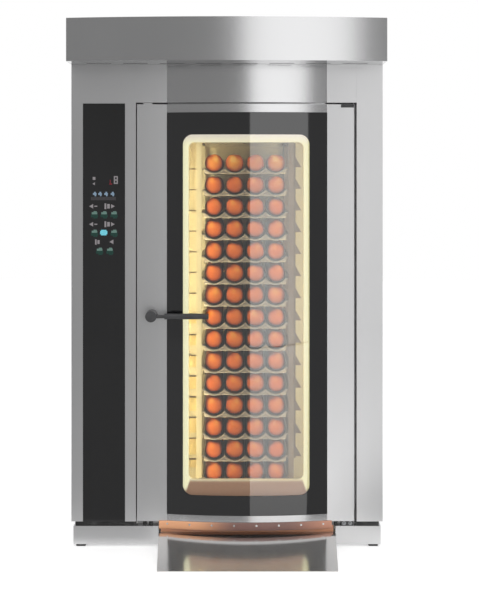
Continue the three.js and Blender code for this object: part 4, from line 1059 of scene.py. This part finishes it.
def figure(mesh, number, x, z, height):
    """A seven-stroke figure: top, upper left and right, middle, lower left and right, foot."""
    width, line = height * 0.52, height * 0.15
    half = (height - line) / 2
    spots = [
        (0, half, True), (-1, half / 2, False), (1, half / 2, False), (0, 0, True),
        (-1, -half / 2, False), (1, -half / 2, False), (0, -half, True),
    ]
    for on, (side, level, flat) in zip(strokes[number], spots):
        if on == "1":
            at = x + side * (width - line) / 2
            size = (width, line) if flat else (line, half)
            sign(mesh, at, z + level, *size)


def arrow(mesh, x, z, size, up=True):
    """A triangle that points up or down."""
    turn = Matrix.Rotation(math.radians(90), 4, "X")
    roll = Matrix.Rotation(math.radians(30 if up else -30), 4, "Y")
    place = Matrix.Translation((x, (sign_face + control_face) / 2, z))
    bmesh.ops.create_cone(
        mesh,
        cap_ends=True,
        segments=3,
        radius1=size / 2,
        radius2=size / 2,
        depth=control_face - sign_face,
        matrix=place @ roll @ turn,
    )


def white_signs(left, middle, right):
    """Display with a dot, an arrow and a figure, and the three rows of signs over the keys."""
    dot_x, foot_z = -0.598, 1.371
    mesh = bmesh.new()
    sign(mesh, dot_x, 1.657, 0.012, 0.013)
    arrow(mesh, dot_x, 1.633, 0.015)
    figure(mesh, 8, -0.500, 1.650, 0.035)
    for row_z in (1.532, 1.451):
        arrow(mesh, left - 0.012, row_z, 0.024)
        sign(mesh, left + 0.006, row_z, 0.013, 0.005)
        sign(mesh, middle + 0.006, row_z, 0.008, 0.026)
        sign(mesh, middle + 0.020, row_z, 0.012, 0.020)
        arrow(mesh, right - 0.008, row_z, 0.022, False)
    sign(mesh, -0.590, foot_z, 0.007, 0.024)
    sign(mesh, -0.578, foot_z, 0.010, 0.017)
    arrow(mesh, -0.517, foot_z + 0.001, 0.024)
    piece("control_signs_white", mesh, sign_white, "cabinet", False)


def coloured_signs():
    """Four blue symbols, the grey bar below them and the red figure of the display."""
    symbol_z = 1.587
    mesh = bmesh.new()
    for x in (-0.595, -0.571, -0.544, -0.515):
        sign(mesh, x, symbol_z, 0.016, 0.008)
        sign(mesh, x + 0.001, symbol_z + 0.007, 0.008, 0.0055)
        sign(mesh, x + 0.003, symbol_z - 0.007, 0.007, 0.0055)
    piece("control_signs_blue", mesh, sign_blue, "cabinet", False)

    mesh = bmesh.new()
    sign(mesh, -0.556, 1.5665, 0.112, 0.015)
    piece("control_bar", mesh, sign_grey, "cabinet", False)

    mesh = bmesh.new()
    figure(mesh, 1, -0.530, 1.640, 0.026)
    sign(mesh, -0.523, 1.632, 0.012, 0.006)
    piece("control_sign_red", mesh, sign_red, "cabinet", False)


def control_keys(left, middle, right):
    """Seven dark keys with a pale upper half, and the lit one among them."""
    first_row, second_row, last_row = 1.500, 1.417, 1.336
    keys = [(x, first_row) for x in (left, middle, right)]
    keys += [(left, second_row), (right, second_row), (-0.573, last_row), (-0.527, last_row)]
    teal, mint = bmesh.new(), bmesh.new()
    for x, z in keys:
        sign(teal, x, z - 0.0110, 0.032, 0.0130)
        sign(teal, x + 0.004, z - 0.0205, 0.018, 0.0055)
        sign(mint, x, z + 0.0005, 0.025, 0.0095)
        sign(mint, x + 0.003, z + 0.0075, 0.014, 0.0040)
    piece("control_keys_teal", teal, sign_teal, "cabinet", False)
    piece("control_keys_mint", mint, sign_mint, "cabinet", False)

    lit_x, lit_z, step_z = -0.5545, 1.4135, 0.0100
    mesh = bmesh.new()
    sign(mesh, lit_x, lit_z, 0.032, 0.0150)
    for z in (lit_z + step_z, lit_z - step_z):
        sign(mesh, lit_x, z, 0.024, 0.0045)
    piece("control_key_lit", mesh, sign_cyan, "cabinet", False)


columns = (-0.596, -0.553, -0.508)
white_signs(*columns)
coloured_signs()
control_keys(*columns)

# ---------------- studio

scene = bpy.context.scene
scene.view_settings.view_transform = "Standard"

studio_fill = 0.80  # what the white world sheds on things; to the eye its strength is 1
floor_glow = 0.38  # what the floor shows to the eye beside the light that falls on it
card_tone = 0.28
lamp_glow = (1.0, 0.83, 0.44)
fill_glow = (1.0, 0.83, 0.52)


def seen_rays(made):
    """1 for what the eye sees straight, mirrored or through glass, 0 for light that falls on things."""
    kinds = ("Is Camera Ray", "Is Glossy Ray", "Is Transmission Ray")
    camera, glossy, through = (made.node("LightPath", out=kind) for kind in kinds)
    return camera.at_least(glossy).at_least(through)


def studio_world():
    """A white world, a little dimmer for the things that it lights than for the eye."""
    made = Finish("white_studio", bpy.data.worlds.new("white_studio"))
    strength = seen_rays(made) * (1.0 - studio_fill) + studio_fill
    background = made.node("Background", {}, {"Color": (1.0, 1.0, 1.0), "Strength": strength})
    scene.world = made.done(background, "World")


def pale_floor():
    """A floor that keeps the shadow, and glows a little to what sees it."""
    mesh = bmesh.new()
    bmesh.ops.create_grid(mesh, x_segments=1, y_segments=1, size=14.0)
    made = Finish("pale_floor")
    paper = made.mix(made.noise(1.4), (0.86, 0.86, 0.86), (0.89, 0.89, 0.89))
    matt = made.node("BsdfDiffuse", {}, {"Color": paper})
    glow = made.node("Emission", {}, {"Color": (1, 1, 1), "Strength": seen_rays(made) * floor_glow})
    finish = made.done(made.node("AddShader", {}, {0: matt, 1: glow}))
    to_object("pale_floor", mesh, finish)


def reflection_card(name, centre, size, turn, tone):
    """A grey card outside the picture that only shows as a reflection."""
    mesh = bmesh.new()
    matrix = Matrix.Translation(centre) @ turn @ Matrix.Diagonal((size[0] / 2, size[1] / 2, 1.0, 1.0))
    bmesh.ops.create_grid(mesh, x_segments=1, y_segments=1, size=1.0, matrix=matrix)
    made = Finish(name)
    shade = made.mix(made.noise(2.0), (0.96 * tone,) * 3, (1.04 * tone,) * 3)
    card = to_object(name, mesh, made.done(made.node("Emission", {}, {"Color": shade, "Strength": 1.0})))
    card.visible_camera = False
    card.visible_diffuse = False
    card.visible_shadow = False
    card.visible_transmission = False


def lamp(name, place, aim, size, watts, colour=(1.0, 1.0, 1.0), mirrored=True):
    """A soft lamp that the camera doesn't see."""
    data = bpy.data.lights.new(name, "AREA")
    data.shape = "RECTANGLE"
    data.size, data.size_y = size
    data.energy = watts
    data.color = colour
    made = bpy.data.objects.new(name, data)
    scene.collection.objects.link(made)
    made.location = place
    made.rotation_euler = (Vector(aim) - Vector(place)).to_track_quat("-Z", "Y").to_euler()
    made.visible_camera = False
    made.visible_glossy = mirrored


studio_world()
pale_floor()

# Grey cards for the darker room that the steel mirrors: a wall in front, and three on the floor
standing = Matrix.Rotation(math.radians(90), 4, "X")
card_rise = 0.003
reflection_card("card_front_wall", (0.0, -7.06, 2.5), (13.8, 6.0), standing, card_tone)
for name, x, y, size, degrees, tone in (
    ("card_front_floor", -3.853, -4.758, (8.1, 7.47), 1.31, 0.32),
    ("card_left_floor", -2.35, -0.765, (4.0, 0.33), 0.0, 0.55),
    ("card_right_floor", 4.424, -4.249, (5.0, 9.0), 20.76, card_tone),
):
    turn = Matrix.Rotation(math.radians(degrees), 4, "Z")
    reflection_card(name, (x, y, card_rise), size, turn, tone)

# The tall soft lamp that the bowed front mirrors as one bright band
softbox_left, softbox_right, softbox_y = 0.25, 2.78, -7.0
softbox_width, softbox_height, softbox_tone = softbox_right - softbox_left, 4.6, 1.08
softbox_x, softbox_z = (softbox_left + softbox_right) / 2, softbox_height / 2 + 0.02
lamp(
    "softbox_front",
    (softbox_x, softbox_y, softbox_z),
    (softbox_x, 0.0, softbox_z),
    (softbox_width, softbox_height),
    softbox_tone * math.pi * softbox_width * softbox_height,
)
lamp("soft_top", (0.0, -0.5, 4.6), (0.0, 0.0, 0.0), (4.0, 4.0), 60.0, mirrored=False)

# Oven lamps behind the light frame of the door, the right one weaker
chamber_x, lamp_z, fill_z = 0.082, 0.96, 1.05
for x, watts in ((-0.235, 5.4), (0.405, 2.2)):
    place, aim = (x, casing_front + 0.118, lamp_z), (chamber_x, casing_front + 0.55, lamp_z)
    lamp("oven_lamp", place, aim, (0.05, 1.80), watts, lamp_glow)

# A weak light from the door that reaches the rack
place, aim = (chamber_x, casing_front + 0.105, fill_z), (chamber_x, casing_front + 1.0, fill_z)
lamp("oven_fill", place, aim, (0.40, 1.60), 0.9, fill_glow, False)

# ---------------- camera

camera_data = bpy.data.cameras.new("camera")
camera_data.lens = 73.5
camera_data.sensor_width = 36.0
camera_data.shift_y = -0.1995
camera = bpy.data.objects.new("camera", camera_data)
scene.collection.objects.link(camera)
camera.location = (0.056, -6.034, 1.650)  # at eye height
camera.rotation_euler = (math.radians(90), 0.0, 0.0)
scene.camera = camera
